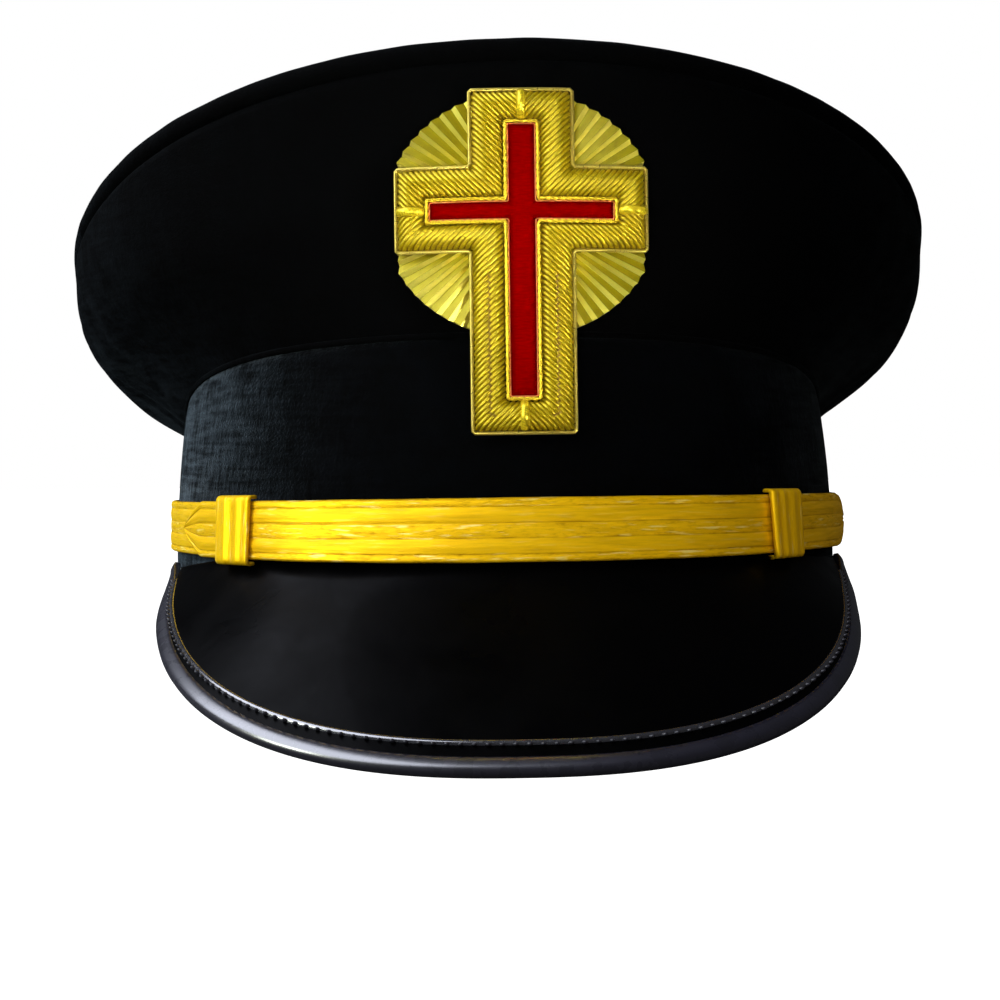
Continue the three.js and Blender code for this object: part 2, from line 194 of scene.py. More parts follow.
def buildThreadTree():
    # Round threads along paths: each spline becomes a capped tube, a little thicker or thinner
    # than its neighbours, with its length kept in the attribute "along".
    tree = bpy.data.node_groups.new("threadAlongPath", "GeometryNodeTree")
    addSockets(tree, "INPUT", {
        "Paths": "Geometry", "Radius": "Float", "Sides": "Int", "Unevenness": "Float",
        "Flatness": "Float", "Seed": "Int", "Material": "Material",
    })
    addSockets(tree, "OUTPUT", {"Threads": "Geometry"})
    start = addNode(tree, "NodeGroupInput")
    curve = addNode(tree, "GeometryNodeMeshToCurve", {0: start.outputs["Paths"]})
    length = addNode(tree, "GeometryNodeSplineParameter")
    keep = addNode(
        tree, "GeometryNodeStoreNamedAttribute",
        {"Geometry": curve.outputs[0], "Name": "along", "Value": length.outputs["Length"]},
        data_type="FLOAT", domain="POINT",
    )
    spline = addNode(tree, "GeometryNodeCurveOfPoint")
    vary = unevenSize(tree, start, spline.outputs["Curve Index"])
    sized = addNode(tree, "GeometryNodeSetCurveRadius", {"Curve": keep.outputs[0], "Radius": vary})
    circle = addNode(
        tree, "GeometryNodeCurvePrimitiveCircle",
        {"Resolution": start.outputs["Sides"], "Radius": start.outputs["Radius"]}, mode="RADIUS",
    )
    squash = addNode(
        tree, "ShaderNodeCombineXYZ", {"X": 1.0, "Y": start.outputs["Flatness"], "Z": 1.0}
    )
    section = addNode(
        tree, "GeometryNodeTransform", {"Geometry": circle.outputs[0], "Scale": squash.outputs[0]}
    )
    tube = addNode(
        tree, "GeometryNodeCurveToMesh",
        {"Curve": sized.outputs[0], "Profile Curve": section.outputs[0], "Fill Caps": True},
    )
    return endTree(tree, start, tube.outputs[0])


def buildStitchTree():
    # A row of short, plump stitches along a path.
    tree = bpy.data.node_groups.new("stitchRow", "GeometryNodeTree")
    addSockets(tree, "INPUT", {
        "Path": "Geometry", "Spacing": "Float", "Stitch Size": "Vector", "Unevenness": "Float",
        "Seed": "Int", "Material": "Material",
    })
    addSockets(tree, "OUTPUT", {"Stitches": "Geometry"})
    start = addNode(tree, "NodeGroupInput")
    curve = addNode(tree, "GeometryNodeMeshToCurve", {0: start.outputs["Path"]})
    spots = addNode(
        tree, "GeometryNodeCurveToPoints",
        {"Curve": curve.outputs[0], "Length": start.outputs["Spacing"]}, mode="LENGTH",
    )
    stitch = addNode(
        tree, "GeometryNodeMeshUVSphere", {"Segments": 10, "Rings": 7, "Radius": 1.0}
    )
    one = addNode(
        tree, "GeometryNodeTransform",
        {"Geometry": stitch.outputs[0], "Scale": start.outputs["Stitch Size"]},
    )
    turn = addNode(
        tree, "FunctionNodeAlignRotationToVector", {"Vector": spots.outputs["Tangent"]}, axis="X"
    )
    placed = addNode(
        tree, "GeometryNodeInstanceOnPoints",
        {
            "Points": spots.outputs["Points"], "Instance": one.outputs[0],
            "Rotation": turn.outputs[0], "Scale": unevenSize(tree, start),
        },
    )
    return endTree(tree, start, placed.outputs[0])


def bakeTree(name, paths, tree, values):
    # Runs a tree over paths, each a list of points with a flag for closed, and keeps the mesh.
    points = []
    edges = []
    for path, closed in paths:
        first = len(points)
        points += [tuple(p) for p in path]
        edges += [(first + i, first + i + 1) for i in range(len(path) - 1)]
        if closed:
            edges.append((first + len(path) - 1, first))
    mesh = bpy.data.meshes.new(name + "Paths")
    mesh.from_pydata(points, edges, [])
    source = addObject(name + "Paths", mesh)
    modifier = source.modifiers.new("make", "NODES")
    modifier.node_group = tree
    for item in tree.interface.items_tree:
        if item.in_out == "INPUT" and item.name in values:
            modifier[item.identifier] = values[item.name]
    graph = bpy.context.evaluated_depsgraph_get()
    graph.update()
    baked = bpy.data.meshes.new_from_object(
        source.evaluated_get(graph), preserve_all_data_layers=True, depsgraph=graph
    )
    source.modifiers.remove(modifier)
    bpy.data.objects.remove(source)
    bpy.data.meshes.remove(mesh)
    baked.name = name
    baked.transform(capPlace)
    baked.update()
    return addObject(name, baked)


threadTree = buildThreadTree()
stitchTree = buildStitchTree()


def threads(name, paths, radius, material, sides=8, unevenness=0.0, flatness=1.0, seed=1):
    return bakeTree(name, paths, threadTree, {
        "Radius": radius, "Sides": sides, "Unevenness": unevenness, "Flatness": flatness,
        "Seed": seed, "Material": material,
    })


# Materials.


def shaderGroup(name, inputs, outputs):
    group = bpy.data.node_groups.new(name, "ShaderNodeTree")
    for label, (kind, value) in inputs.items():
        socket = group.interface.new_socket(
            name=label, in_out="INPUT", socket_type="NodeSocket" + kind
        )
        if value is not None:
            socket.default_value = value
    addSockets(group, "OUTPUT", outputs)
    return group, addNode(group, "NodeGroupInput"), addNode(group, "NodeGroupOutput")


def remap(tree, value, low, high, toLow, toHigh):
    return addNode(
        tree, "ShaderNodeMapRange",
        {"Value": value, "From Min": low, "From Max": high, "To Min": toLow, "To Max": toHigh},
    ).outputs[0]


def mixColours(tree, share, a, b):
    return addNode(tree, "ShaderNodeMix", {0: share, 6: a, 7: b}, data_type="RGBA").outputs[2]


def stretch(tree, vector, by):
    return addNode(
        tree, "ShaderNodeVectorMath", {0: vector, 1: by}, operation="MULTIPLY"
    ).outputs[0]


def noiseAt(tree, vector, scale, detail=2.0, roughness=0.5, distortion=0.0):
    return addNode(
        tree, "ShaderNodeTexNoise",
        {
            "Vector": vector, "Scale": scale, "Detail": detail, "Roughness": roughness,
            "Distortion": distortion,
        },
    ).outputs[0]


# Milled wool: short fibres over a faint weave, with patches where the nap lies the other way.
napGroup, napIn, napOut = shaderGroup(
    "woolNap",
    {
        "Vector": ("Vector", None),
        "Fibre Scale": ("Float", 1.6),
        "Patch Scale": ("Float", 0.03),
        "Patch Strength": ("Float", 0.5),
        "Weave Strength": ("Float", 0.3),
        "Dark": ("Color", (0.002, 0.002, 0.002, 1)),
        "Light": ("Color", (0.01, 0.01, 0.012, 1)),
    },
    {"Colour": "Color", "Roughness": "Float", "Height": "Float", "Share": "Float"},
)
napFibre = noiseAt(napGroup, napIn.outputs["Vector"], napIn.outputs["Fibre Scale"], 4.0, 0.65, 0.6)
napPatch = noiseAt(napGroup, napIn.outputs["Vector"], napIn.outputs["Patch Scale"], 4.0, 0.6, 1.2)
napUp = stretch(napGroup, napIn.outputs["Vector"], (1.1, 1.1, 0.12))
napSide = stretch(napGroup, napIn.outputs["Vector"], (0.1, 0.1, 1.1))
napWeave = math2(
    napGroup, "MULTIPLY",
    math2(napGroup, "ADD", noiseAt(napGroup, napUp, 0.8, 2.0), noiseAt(napGroup, napSide, 0.8, 2.0)),
    0.5,
)
napBroad = remap(napGroup, napPatch, 0.44, 0.66, 0.0, 1.0)
napShare = math2(napGroup, "MULTIPLY", napBroad, napIn.outputs["Patch Strength"])
napGrain = remap(napGroup, napFibre, 0.3, 0.75, 0.0, 0.55)
napThreads = math2(
    napGroup, "MULTIPLY", remap(napGroup, napWeave, 0.4, 0.6, 0.0, 1.0), napIn.outputs["Weave Strength"]
)
napMixed = math2(
    napGroup, "ADD", math2(napGroup, "ADD", napShare, napThreads),
    math2(napGroup, "MULTIPLY", napGrain, 0.5),
)
feed(napGroup, napOut, {
    "Colour": mixColours(napGroup, napMixed, napIn.outputs["Dark"], napIn.outputs["Light"]),
    "Share": napMixed,
    "Roughness": remap(napGroup, napFibre, 0.2, 0.8, 0.98, 0.78),
    "Height": math2(napGroup, "ADD", napFibre, math2(napGroup, "MULTIPLY", napPatch, 0.4)),
})

# Gilt thread: a fine grain, patchy tarnish and a spread of gloss.
giltGroup, giltIn, giltOut = shaderGroup(
    "giltThread",
    {
        "Vector": ("Vector", None),
        "Grain Scale": ("Float", 2.0),
        "Tarnish Scale": ("Float", 0.12),
        "Bright": ("Color", (0.6, 0.4, 0.05, 1)),
        "Dull": ("Color", (0.25, 0.15, 0.02, 1)),
        "Gloss Low": ("Float", 0.25),
        "Gloss High": ("Float", 0.5),
    },
    {"Colour": "Color", "Roughness": "Float", "Height": "Float"},
)
giltGrain = noiseAt(giltGroup, giltIn.outputs["Vector"], giltIn.outputs["Grain Scale"], 3.0, 0.6)
giltWear = noiseAt(giltGroup, giltIn.outputs["Vector"], giltIn.outputs["Tarnish Scale"], 3.0, 0.6)
giltShare = math2(
    giltGroup, "MULTIPLY",
    remap(giltGroup, giltGrain, 0.3, 0.62, 1.0, 0.0),
    remap(giltGroup, giltWear, 0.35, 0.65, 0.35, 1.0),
)
feed(giltGroup, giltOut, {
    "Colour": mixColours(giltGroup, giltShare, giltIn.outputs["Bright"], giltIn.outputs["Dull"]),
    "Roughness": remap(
        giltGroup, giltGrain, 0.3, 0.7, giltIn.outputs["Gloss High"], giltIn.outputs["Gloss Low"]
    ),
    "Height": giltGrain,
})


def newMaterial(name, **values):
    material = bpy.data.materials.new(name)
    material.use_nodes = True
    tree = material.node_tree
    shader = tree.nodes["Principled BSDF"]
    feed(tree, shader, values)
    return material, tree, shader


def millimetres(tree):
    place = addNode(tree, "ShaderNodeTexCoord")
    return stretch(tree, place.outputs["Object"], (1000, 1000, 1000))


def useGroup(tree, group, inputs):
    return addNode(tree, "ShaderNodeGroup", inputs, node_tree=group).outputs


def addBump(tree, shader, height, depth):
    bump = addNode(tree, "ShaderNodeBump", {"Height": height, "Distance": depth, "Strength": 1.0})
    tree.links.new(bump.outputs[0], shader.inputs["Normal"])


def woolMaterial(name, dark, light, patchScale, patchStrength, weave, sheen, depth, sheenAwayShare=1.0):
    # Painted sheen: the sheen is full at the wearer's right and drops towards the wearer's left to the
    # share given by the last argument, so one side is lighter as the light falls there.
    material, tree, shader = newMaterial(name, **{
        "Specular IOR Level": 0.03, "Sheen Roughness": 0.35,
        "Sheen Tint": (0.55, 0.68, 0.78, 1),
    })
    place = millimetres(tree)
    nap = useGroup(tree, napGroup, {
        "Vector": place, "Fibre Scale": 1.5, "Patch Scale": patchScale,
        "Patch Strength": patchStrength, "Weave Strength": weave, "Dark": dark, "Light": light,
    })
    across = addNode(tree, "ShaderNodeSeparateXYZ", {"Vector": place}).outputs["X"]
    # Painted sheen: full at the wearer's right, fading across the piece.
    paintedSheenSide = remap(tree, across, -62, -12, 1.0, sheenAwayShare)
    raised = remap(tree, nap["Share"], 0.1, 1.1, sheen * 0.2, sheen * 1.9)
    feed(tree, shader, {
        "Base Color": nap["Colour"], "Roughness": nap["Roughness"],
        "Sheen Weight": math2(tree, "MULTIPLY", raised, paintedSheenSide),
    })
    addBump(tree, shader, nap["Height"], depth)
    return material


def giltMaterial(name, vector, grain, tarnish, bright, dull, gloss, depth, metallic=1.0):
    # vector takes the tree and gives the place of a point on the piece, in millimetres.
    material, tree, shader = newMaterial(name, Metallic=metallic)
    gilt = useGroup(tree, giltGroup, {
        "Vector": vector(tree), "Grain Scale": grain, "Tarnish Scale": tarnish,
        "Bright": bright, "Dull": dull, "Gloss Low": gloss[0], "Gloss High": gloss[1],
    })
    feed(tree, shader, {"Base Color": gilt["Colour"], "Roughness": gilt["Roughness"]})
    addBump(tree, shader, gilt["Height"], depth)
    return material


def coiledThread(tree):
    # Squeezes the pattern along a thread, so that it reads as the turns of a fine coil.
    along = addNode(tree, "ShaderNodeAttribute", attribute_name="along")
    turns = math2(tree, "MULTIPLY", along.outputs["Fac"], 3.0)
    apart = addNode(tree, "ShaderNodeCombineXYZ", {"X": turns})
    return addNode(
        tree, "ShaderNodeVectorMath", {0: apart.outputs[0], 1: millimetres(tree)}, operation="ADD"
    ).outputs[0]


crownWool = woolMaterial(
    "crownWool", (0.0001, 0.0001, 0.0001, 1), (0.0003, 0.0004, 0.0005, 1), 0.06, 0.4, 0.5, 0.014,
    0.0002,
)
# The band's sheen fades away from the wearer's right: painted sheen where the light falls.
bandWool = woolMaterial(
    "bandWool", (0.0001, 0.0001, 0.0001, 1), (0.0003, 0.0005, 0.0008, 1), 0.05, 0.4, 0.6, 0.3,
    0.00025, 0.12,
)
liningCloth = woolMaterial(
    "liningCloth", (0.004, 0.004, 0.004, 1), (0.012, 0.012, 0.012, 1), 0.05, 0.3, 0.3, 0.05, 0.0001
)
backingFelt = woolMaterial(
    "backingFelt", (0.003, 0.003, 0.003, 1), (0.02, 0.018, 0.015, 1), 0.1, 0.5, 0.2, 0.1, 0.0003
)

patentBlack, patentTree, patentShader = newMaterial("patentBlack", **{
    "Base Color": (0.0005, 0.0005, 0.0006, 1), "Specular IOR Level": 0.03, "Coat Weight": 0.012,
    "Coat Roughness": 0.1,
})
patentPlace = millimetres(patentTree)
patentSmear = noiseAt(patentTree, patentPlace, 0.05, 4.0, 0.6, 0.2)
patentPebble = noiseAt(patentTree, patentPlace, 0.35, 2.0, 0.5)
feed(patentTree, patentShader, {
    "Roughness": remap(patentTree, patentSmear, 0.35, 0.65, 0.26, 0.42),
})
addBump(
    patentTree, patentShader,
    math2(patentTree, "ADD", patentSmear, math2(patentTree, "MULTIPLY", patentPebble, 0.12)),
    0.0002,
)

edgeBinding, bindingTree, bindingShader = newMaterial("edgeBinding", **{
    "Specular IOR Level": 0.7, "Coat Weight": 1.0, "Coat Roughness": 0.3, "Coat IOR": 2.3,
})
bindingPlace = millimetres(bindingTree)
bindingGrain = noiseAt(bindingTree, bindingPlace, 0.25, 3.0, 0.55)
bindingFine = noiseAt(bindingTree, bindingPlace, 1.6, 2.0, 0.5)
feed(bindingTree, bindingShader, {
    "Base Color": mixColours(
        bindingTree, bindingGrain, (0.003, 0.0026, 0.007, 1), (0.009, 0.008, 0.02, 1)
    ),
    "Roughness": remap(bindingTree, bindingGrain, 0.3, 0.7, 0.22, 0.34),
})
addBump(
    bindingTree, bindingShader,
    math2(bindingTree, "ADD", bindingGrain, math2(bindingTree, "MULTIPLY", bindingFine, 0.15)),
    0.0001,
)

edgeBead, beadTree, beadShader = newMaterial("edgeBead", **{
    "Base Color": (0.02, 0.02, 0.026, 1), "Specular IOR Level": 1.0, "Coat Weight": 1.0,
    "Coat Roughness": 0.15, "Coat IOR": 2.4,
})
beadGrain = noiseAt(beadTree, millimetres(beadTree), 0.5, 3.0, 0.6)
feed(beadTree, beadShader, {"Roughness": remap(beadTree, beadGrain, 0.3, 0.7, 0.18, 0.34)})
addBump(beadTree, beadShader, beadGrain, 0.00008)

stitchThread, sewnTree, sewnShader = newMaterial("stitchThread", **{
    "Specular IOR Level": 0.5, "Coat Weight": 0.12, "Coat Roughness": 0.3,
})
sewnGrain = noiseAt(sewnTree, millimetres(sewnTree), 3.0, 2.0)
feed(sewnTree, sewnShader, {
    "Base Color": mixColours(
        sewnTree, sewnGrain, (0.008, 0.008, 0.012, 1), (0.03, 0.03, 0.04, 1)
    ),
    "Roughness": remap(sewnTree, sewnGrain, 0.3, 0.7, 0.3, 0.5),
})

bullionGold = giltMaterial(
    "bullionGold", coiledThread, 0.8, 0.1,
    (0.55, 0.42, 0.006, 1), (0.32, 0.23, 0.003, 1), (0.24, 0.42), 0.00006, 0.55,
)
# The pad shows in the gaps between the ribs: its own gold, darkened to a gold-brown as painted shade.
padShadeGold = giltMaterial(
    "padShadeGold", millimetres, 1.0, 0.1,
    (0.26, 0.16, 0.003, 1), (0.13, 0.07, 0.002, 1), (0.5, 0.7), 0.0001, 0.3,
)
rayGold = giltMaterial(
    "rayGold", millimetres, 0.4, 0.06,
    (0.34, 0.285, 0.003, 1), (0.26, 0.21, 0.002, 1), (0.35, 0.45), 0.00003, 0.5,
)
# The narrow faces of the disc's folds take this paler gold, a painted highlight; the wide faces keep
# rayGold.
facetHighlightGold = giltMaterial(
    "facetHighlightGold", millimetres, 0.4, 0.06,
    (0.96, 0.86, 0.15, 1), (0.9, 0.78, 0.1, 1), (0.38, 0.44), 0.00001, 0.92,
)
wireGold = giltMaterial(
    "wireGold", coiledThread, 0.8, 0.1,
    (0.60, 0.48, 0.09, 1), (0.46, 0.34, 0.04, 1), (0.25, 0.4), 0.00003, 0.7,
)
cordGold = giltMaterial(
    "cordGold", coiledThread, 0.8, 0.1,
    (0.78, 0.56, 0.02, 1), (0.55, 0.37, 0.01, 1), (0.25, 0.4), 0.00003, 0.55,
)
barGold = giltMaterial(
    "barGold", coiledThread, 0.8, 0.1,
    (0.80, 0.62, 0.02, 1), (0.6, 0.43, 0.008, 1), (0.22, 0.36), 0.00003, 0.5,
)
edgeThread = giltMaterial(
    "edgeThread", millimetres, 2.0, 0.2,
    (0.7, 0.2, 0.05, 1), (0.45, 0.08, 0.02, 1), (0.4, 0.6), 0.00004, 0.3,
)
buttonBrass = giltMaterial(
    "buttonBrass", millimetres, 1.2, 0.15,
    (0.7, 0.47, 0.12, 1), (0.38, 0.22, 0.04, 1), (0.16, 0.34), 0.00004,
)

# Red satin: stitches laid side by side across the field.
redSatin, satinTree, satinShader = newMaterial("redSatin", **{"Specular IOR Level": 0.0})
satinPlace = stretch(satinTree, millimetres(satinTree), (0.35, 1.0, 2.6))
satinGrain = noiseAt(satinTree, satinPlace, 1.4, 3.0, 0.6)
# The satin darkens within 1.6 mm of its edge: painted shade beside the raised frame and cord.
satinDepth = addNode(satinTree, "ShaderNodeAttribute", attribute_name="fromEdge").outputs["Fac"]
satinClearOfShade = remap(satinTree, satinDepth, 0.0, 1.6, 0.0, 1.0)
satinShare = math2(
    satinTree, "MULTIPLY", satinClearOfShade, remap(satinTree, satinGrain, 0.3, 0.7, 0.55, 1.0)
)
feed(satinTree, satinShader, {
    "Base Color": mixColours(satinTree, satinShare, (0.07, 0.0, 0.0, 1), (0.2, 0.0, 0.0, 1)),
    "Roughness": remap(satinTree, satinGrain, 0.3, 0.7, 0.42, 0.62),
})
addBump(satinTree, satinShader, satinGrain, 0.00008)


# The lace across its height, from the lower edge at 0 to the upper at 1: how flecked it is, and
# where the dark lines run.
laceFlecks = [
    (0.0, 0.9), (0.13, 0.8), (0.16, 0.02), (0.36, 0.02), (0.39, 0.8), (0.58, 0.8),
    (0.61, 0.02), (0.84, 0.05), (0.88, 0.8), (1.0, 0.9),
]
laceLines = [
    (0.0, 0.5), (0.03, 0.0), (0.115, 0.0), (0.135, 0.6), (0.155, 0.0), (0.355, 0.0),
    (0.375, 0.75), (0.395, 0.0), (0.595, 0.0), (0.612, 0.75), (0.63, 0.0), (0.85, 0.0),
    (0.868, 0.6), (0.885, 0.0), (0.97, 0.0), (1.0, 0.5),
]


def greyRamp(tree, value, rows):
    ramp = addNode(tree, "ShaderNodeValToRGB", {0: value})
    points = ramp.color_ramp.elements
    while len(points) < len(rows):
        points.new(0.5)
    for point, (at, grey) in zip(points, rows):
        point.position = at
        point.color = (grey, grey, grey, 1)
    return ramp.outputs[0]


def laceMaterial(name, contrast):
    # Gold lace reads its own UV map: millimetres along the strap, and from -1 to 1 across it. Two
    # smooth bands run beside a flecked middle and flecked borders, with a dark line between them.
    material, tree, shader = newMaterial(name, **{"Metallic": 0.45, "Specular IOR Level": 0.08})
    place = addNode(tree, "ShaderNodeUVMap", uv_map="UVMap").outputs[0]
    split = addNode(tree, "ShaderNodeSeparateXYZ", {0: place})
    along, across = split.outputs[0], split.outputs[1]

    def pulled(alongBy, acrossBy):
        return addNode(tree, "ShaderNodeCombineXYZ", {
            "X": math2(tree, "MULTIPLY", along, alongBy),
            "Y": math2(tree, "MULTIPLY", across, acrossBy),
        }).outputs[0]

    upward = remap(tree, across, -1.0, 1.0, 0.0, 1.0)
    flecked = greyRamp(tree, upward, laceFlecks)
    streaks = noiseAt(tree, pulled(0.012, 1.0), 11.0, 4.0, 0.6, 0.1)
    patches = noiseAt(tree, pulled(0.012, 1.0), 4.0, 2.0, 0.5)
    flecks = noiseAt(tree, pulled(0.3, 9.0), 1.1, 3.0, 0.65, 0.2)
    fine = noiseAt(tree, pulled(0.3, 9.0), 4.0, 2.0, 0.6)
    speck = math2(tree, "MULTIPLY", remap(tree, flecks, 0.5, 0.72, 0.0, 0.6), flecked)
    streak = remap(tree, math2(tree, "ADD", streaks, patches), 0.9, 1.3, 0.0, 0.4)
    dashes = remap(tree, noiseAt(tree, pulled(0.12, 8.0), 1.2, 2.0, 0.5), 0.58, 0.7, 0.0, 0.8)
    glint = math2(tree, "MULTIPLY", dashes, math2(tree, "ADD", flecked, 0.15))
    broken = math2(
        tree, "MULTIPLY", greyRamp(tree, upward, laceLines),
        remap(tree, streaks, 0.3, 0.6, 0.4, 1.0),
    )
    dark = math2(
        tree, "MINIMUM", math2(tree, "ADD", math2(tree, "ADD", speck, streak), broken), 1.0
    )
    dark = math2(tree, "MULTIPLY", dark, contrast)
    body = mixColours(tree, dark, (0.92, 0.54, 0.004, 1), (0.42, 0.21, 0.001, 1))
    feed(tree, shader, {
        "Base Color": mixColours(tree, glint, body, (1.0, 0.82, 0.22, 1)),
        "Roughness": remap(tree, math2(tree, "ADD", dark, fine), 0.2, 1.4, 0.34, 0.6),
    })
    height = math2(
        tree, "ADD", math2(tree, "MULTIPLY", speck, -0.8), math2(tree, "MULTIPLY", fine, 0.12)
    )
    addBump(tree, shader, math2(tree, "ADD", height, math2(tree, "MULTIPLY", streak, -0.5)), 0.00012)
    return material


goldLace = laceMaterial("goldLace", 1.0)
keeperLace = laceMaterial("keeperLace", 0.3)
print("materials ready")


# Shapes that the whole cap shares.


headPower = 2.25


def oval(angle, half, front, back, power=headPower):
    # Angle 0 is the front, and positive angles go to +X.
    s = math.sin(angle)
    c = math.cos(angle)
    reach = front if c > 0 else back
    return (
        half * math.copysign(abs(s) ** (2 / power), s),
        -reach * math.copysign(abs(c) ** (2 / power), c),
    )


def ring(half, front, back, power, atSide, atFront, atBack, hump=0, tilt=0):
    # An oval round the cap, with its height at the sides, the front and the back.
    return {
        "half": half, "front": front, "back": back, "power": power, "atSide": atSide,
        "atFront": atFront, "atBack": atBack, "hump": hump, "tilt": tilt,
    }


def ringPoint(r, angle, inset=0.0):
    x, y = oval(angle, r["half"] - inset, r["front"] - inset, r["back"] - inset, r["power"])
    away = -y / r["front"] if y < 0 else y / r["back"]
    end = r["atFront"] if y < 0 else r["atBack"]
    hump = r["hump"] * 4 * away * (1 - away) if y < 0 else 0
    return Vector((x, y, r["atSide"] + (end - r["atSide"]) * away + hump + r["tilt"] * x))


def throughPoints(points, share):
    # A centripetal curve through the points, as the solids have it.
    place = share * (len(points) - 1)
    at = min(int(place), len(points) - 2)
    w = place - at
    p1, p2 = points[at], points[at + 1]
    p0 = points[at - 1] if at > 0 else p1 * 2 - p2
    p3 = points[at + 2] if at + 2 < len(points) else p2 * 2 - p1
    d0 = max(1e-4, (p1 - p0).length ** 0.5)
    d1 = max(1e-4, (p2 - p1).length ** 0.5)
    d2 = max(1e-4, (p3 - p2).length ** 0.5)
    t1 = ((p1 - p0) / d0 - (p2 - p0) / (d0 + d1) + (p2 - p1) / d1) * d1
    t2 = ((p2 - p1) / d1 - (p3 - p1) / (d1 + d2) + (p3 - p2) / d2) * d1
    return (
        p1 + t1 * w + (p1 * -3 + p2 * 3 - t1 * 2 - t2) * w ** 2
        + (p1 * 2 - p2 * 2 + t1 + t2) * w ** 3
    )


def around(count):
    return [i / count * 2 * math.pi for i in range(count)]


def waver(x, y, z, size):
    # A smooth, fixed unevenness between -1 and 1, with lumps of the given size in millimetres.
    return noise.noise(Vector((x, y, z)) / size)


def shell(name, outer, inner, material, nodes=()):
    # A closed wall from two sheets of the same rows; each row goes from bottom to top.
    sections = [rowOut + rowIn[::-1] for rowOut, rowIn in zip(outer, inner)]
    return dress(makeMesh(name, *loft(sections, True)), material, nodes)


# Band.

bandShape = {
    "around": 288,
    "thickness": 2.5,
    "rings": [
        ring(84.8, 101.8, 99.8, headPower, 0, 0, 0),
        ring(86, 103, 101, headPower, 6, 6, 6),
        ring(86, 103, 101, headPower, 30, 30, 30),
        ring(84.6, 102, 99.8, headPower, 49.6, 47.6, 47, hump=2.6),
    ],
    "up": 26,
    "waver": 0.22,
    "lump": 22,
    "turnIn": 0.5,
    "edgeCord": 0.75,
}


def bandPoint(angle, share, inset=0.0):
    return throughPoints([ringPoint(r, angle, inset) for r in bandShape["rings"]], share)


bandOut = []
bandIn = []
for angle in around(bandShape["around"]):
    rowOut = []
    for share in steps(bandShape["up"], 0, 1):
        p = bandPoint(angle, share)
        lump = waver(p.x, p.y, p.z, bandShape["lump"]) * bandShape["waver"]
        lump *= math.sin(math.pi * share)
        turnIn = bandShape["turnIn"] * (abs(share - 0.5) * 2) ** 12
        rowOut.append(p + Vector((p.x, p.y, 0)).normalized() * (lump - turnIn))
    bandOut.append(rowOut)
    bandIn.append([bandPoint(angle, share, bandShape["thickness"]) for share in steps(10, 0, 1)])
shell("bandWall", bandOut, bandIn, bandWool, ["band"])

topEdge = [
    ringPoint(bandShape["rings"][-1], angle, 0.25) + Vector((0, 0, 0.15)) for angle in around(240)
]
dress(
    threads("bandEdgeCord", [(topEdge, True)], bandShape["edgeCord"], crownWool, sides=10),
    None,
)

# Sweatband, inside the band.

sweatband = {
    "gap": 0.35, "thickness": 0.9, "low": 0.6, "high": 34, "drawnIn": 1.25, "drawnUpTo": 6,
    "puff": 0.35,
}
sweatOut = []
sweatIn = []
for angle in around(192):
    out = ringPoint(bandShape["rings"][1], angle, bandShape["thickness"])
    out.z = 0
    away = out.normalized()
    rowOut = []
    rowIn = []
    for share in steps(8, 0, 1):
        height = sweatband["low"] + (sweatband["high"] - sweatband["low"]) * share
        draw = sweatband["drawnIn"] * (1 - smoothStep(height, 0, sweatband["drawnUpTo"]))
        place = out - away * (sweatband["gap"] + draw) + Vector((0, 0, height))
        rowOut.append(place)
        puff = sweatband["puff"] * math.sin(share * math.pi)
        rowIn.append(place - away * (sweatband["thickness"] + puff))
    sweatOut.append(rowOut)
    sweatIn.append(rowIn)
shell("sweatband", sweatOut, sweatIn, liningCloth)
print("band ready")

# Crown.

crown = {
    "around": 320,
    "up": 44,
    "thickness": 2.5,
    "rings": [
        ring(84, 101.6, 99.3, headPower, 50.2, 48.2, 47.6, hump=2.6),
        ring(95.4, 107, 107.4, 2.18, 59.4, 62, 55.8, hump=2, tilt=0.004),
        ring(106.8, 111.4, 116.4, 2.12, 67.6, 76, 61.2, tilt=0.008),
        ring(113.8, 115.6, 122.4, 2.03, 77.6, 91, 65.4, tilt=0.011),
        ring(115.2, 118.8, 123.6, 2.02, 86.9, 104.6, 68.2, tilt=0.013),
    ],
    "rim": ring(112.8, 117, 121.6, 2.02, 90.9, 108.6, 72.5, tilt=0.013),
    "sag": 3,
    "waver": 0.45,
    "lumps": (30, 14),
    "seamDepth": 0.55,
    "seamWidth": 1.1,
    "hemDown": 1.6,
    "hemIn": 0.9,
    "topIn": 1.2,
    "topWaver": 0.5,
    "topLump": 34,
    "topSpokes": 192,
}


def crownPoint(angle, share):
    return throughPoints([ringPoint(r, angle) for r in crown["rings"]], share)


def crownNormal(angle, share):
    here = crownPoint(angle, share)
    beside = crownPoint(angle + 0.01, share) - here
    up = crownPoint(angle, min(1, share + 0.01)) - crownPoint(angle, max(0, share - 0.01))
    return beside.cross(up).normalized()


def seamDip(angle, point):
    # Four seams join the quarters: front, back and both sides.
    nearest = min(abs((angle - s + math.pi) % (2 * math.pi) - math.pi) for s in around(4))
    far = nearest * Vector((point.x, point.y)).length
    groove = math.exp(-((far / crown["seamWidth"]) ** 2))
    puff = math.exp(-(((far - 3.4) / 2.2) ** 2))
    return 0.3 * puff - crown["seamDepth"] * groove


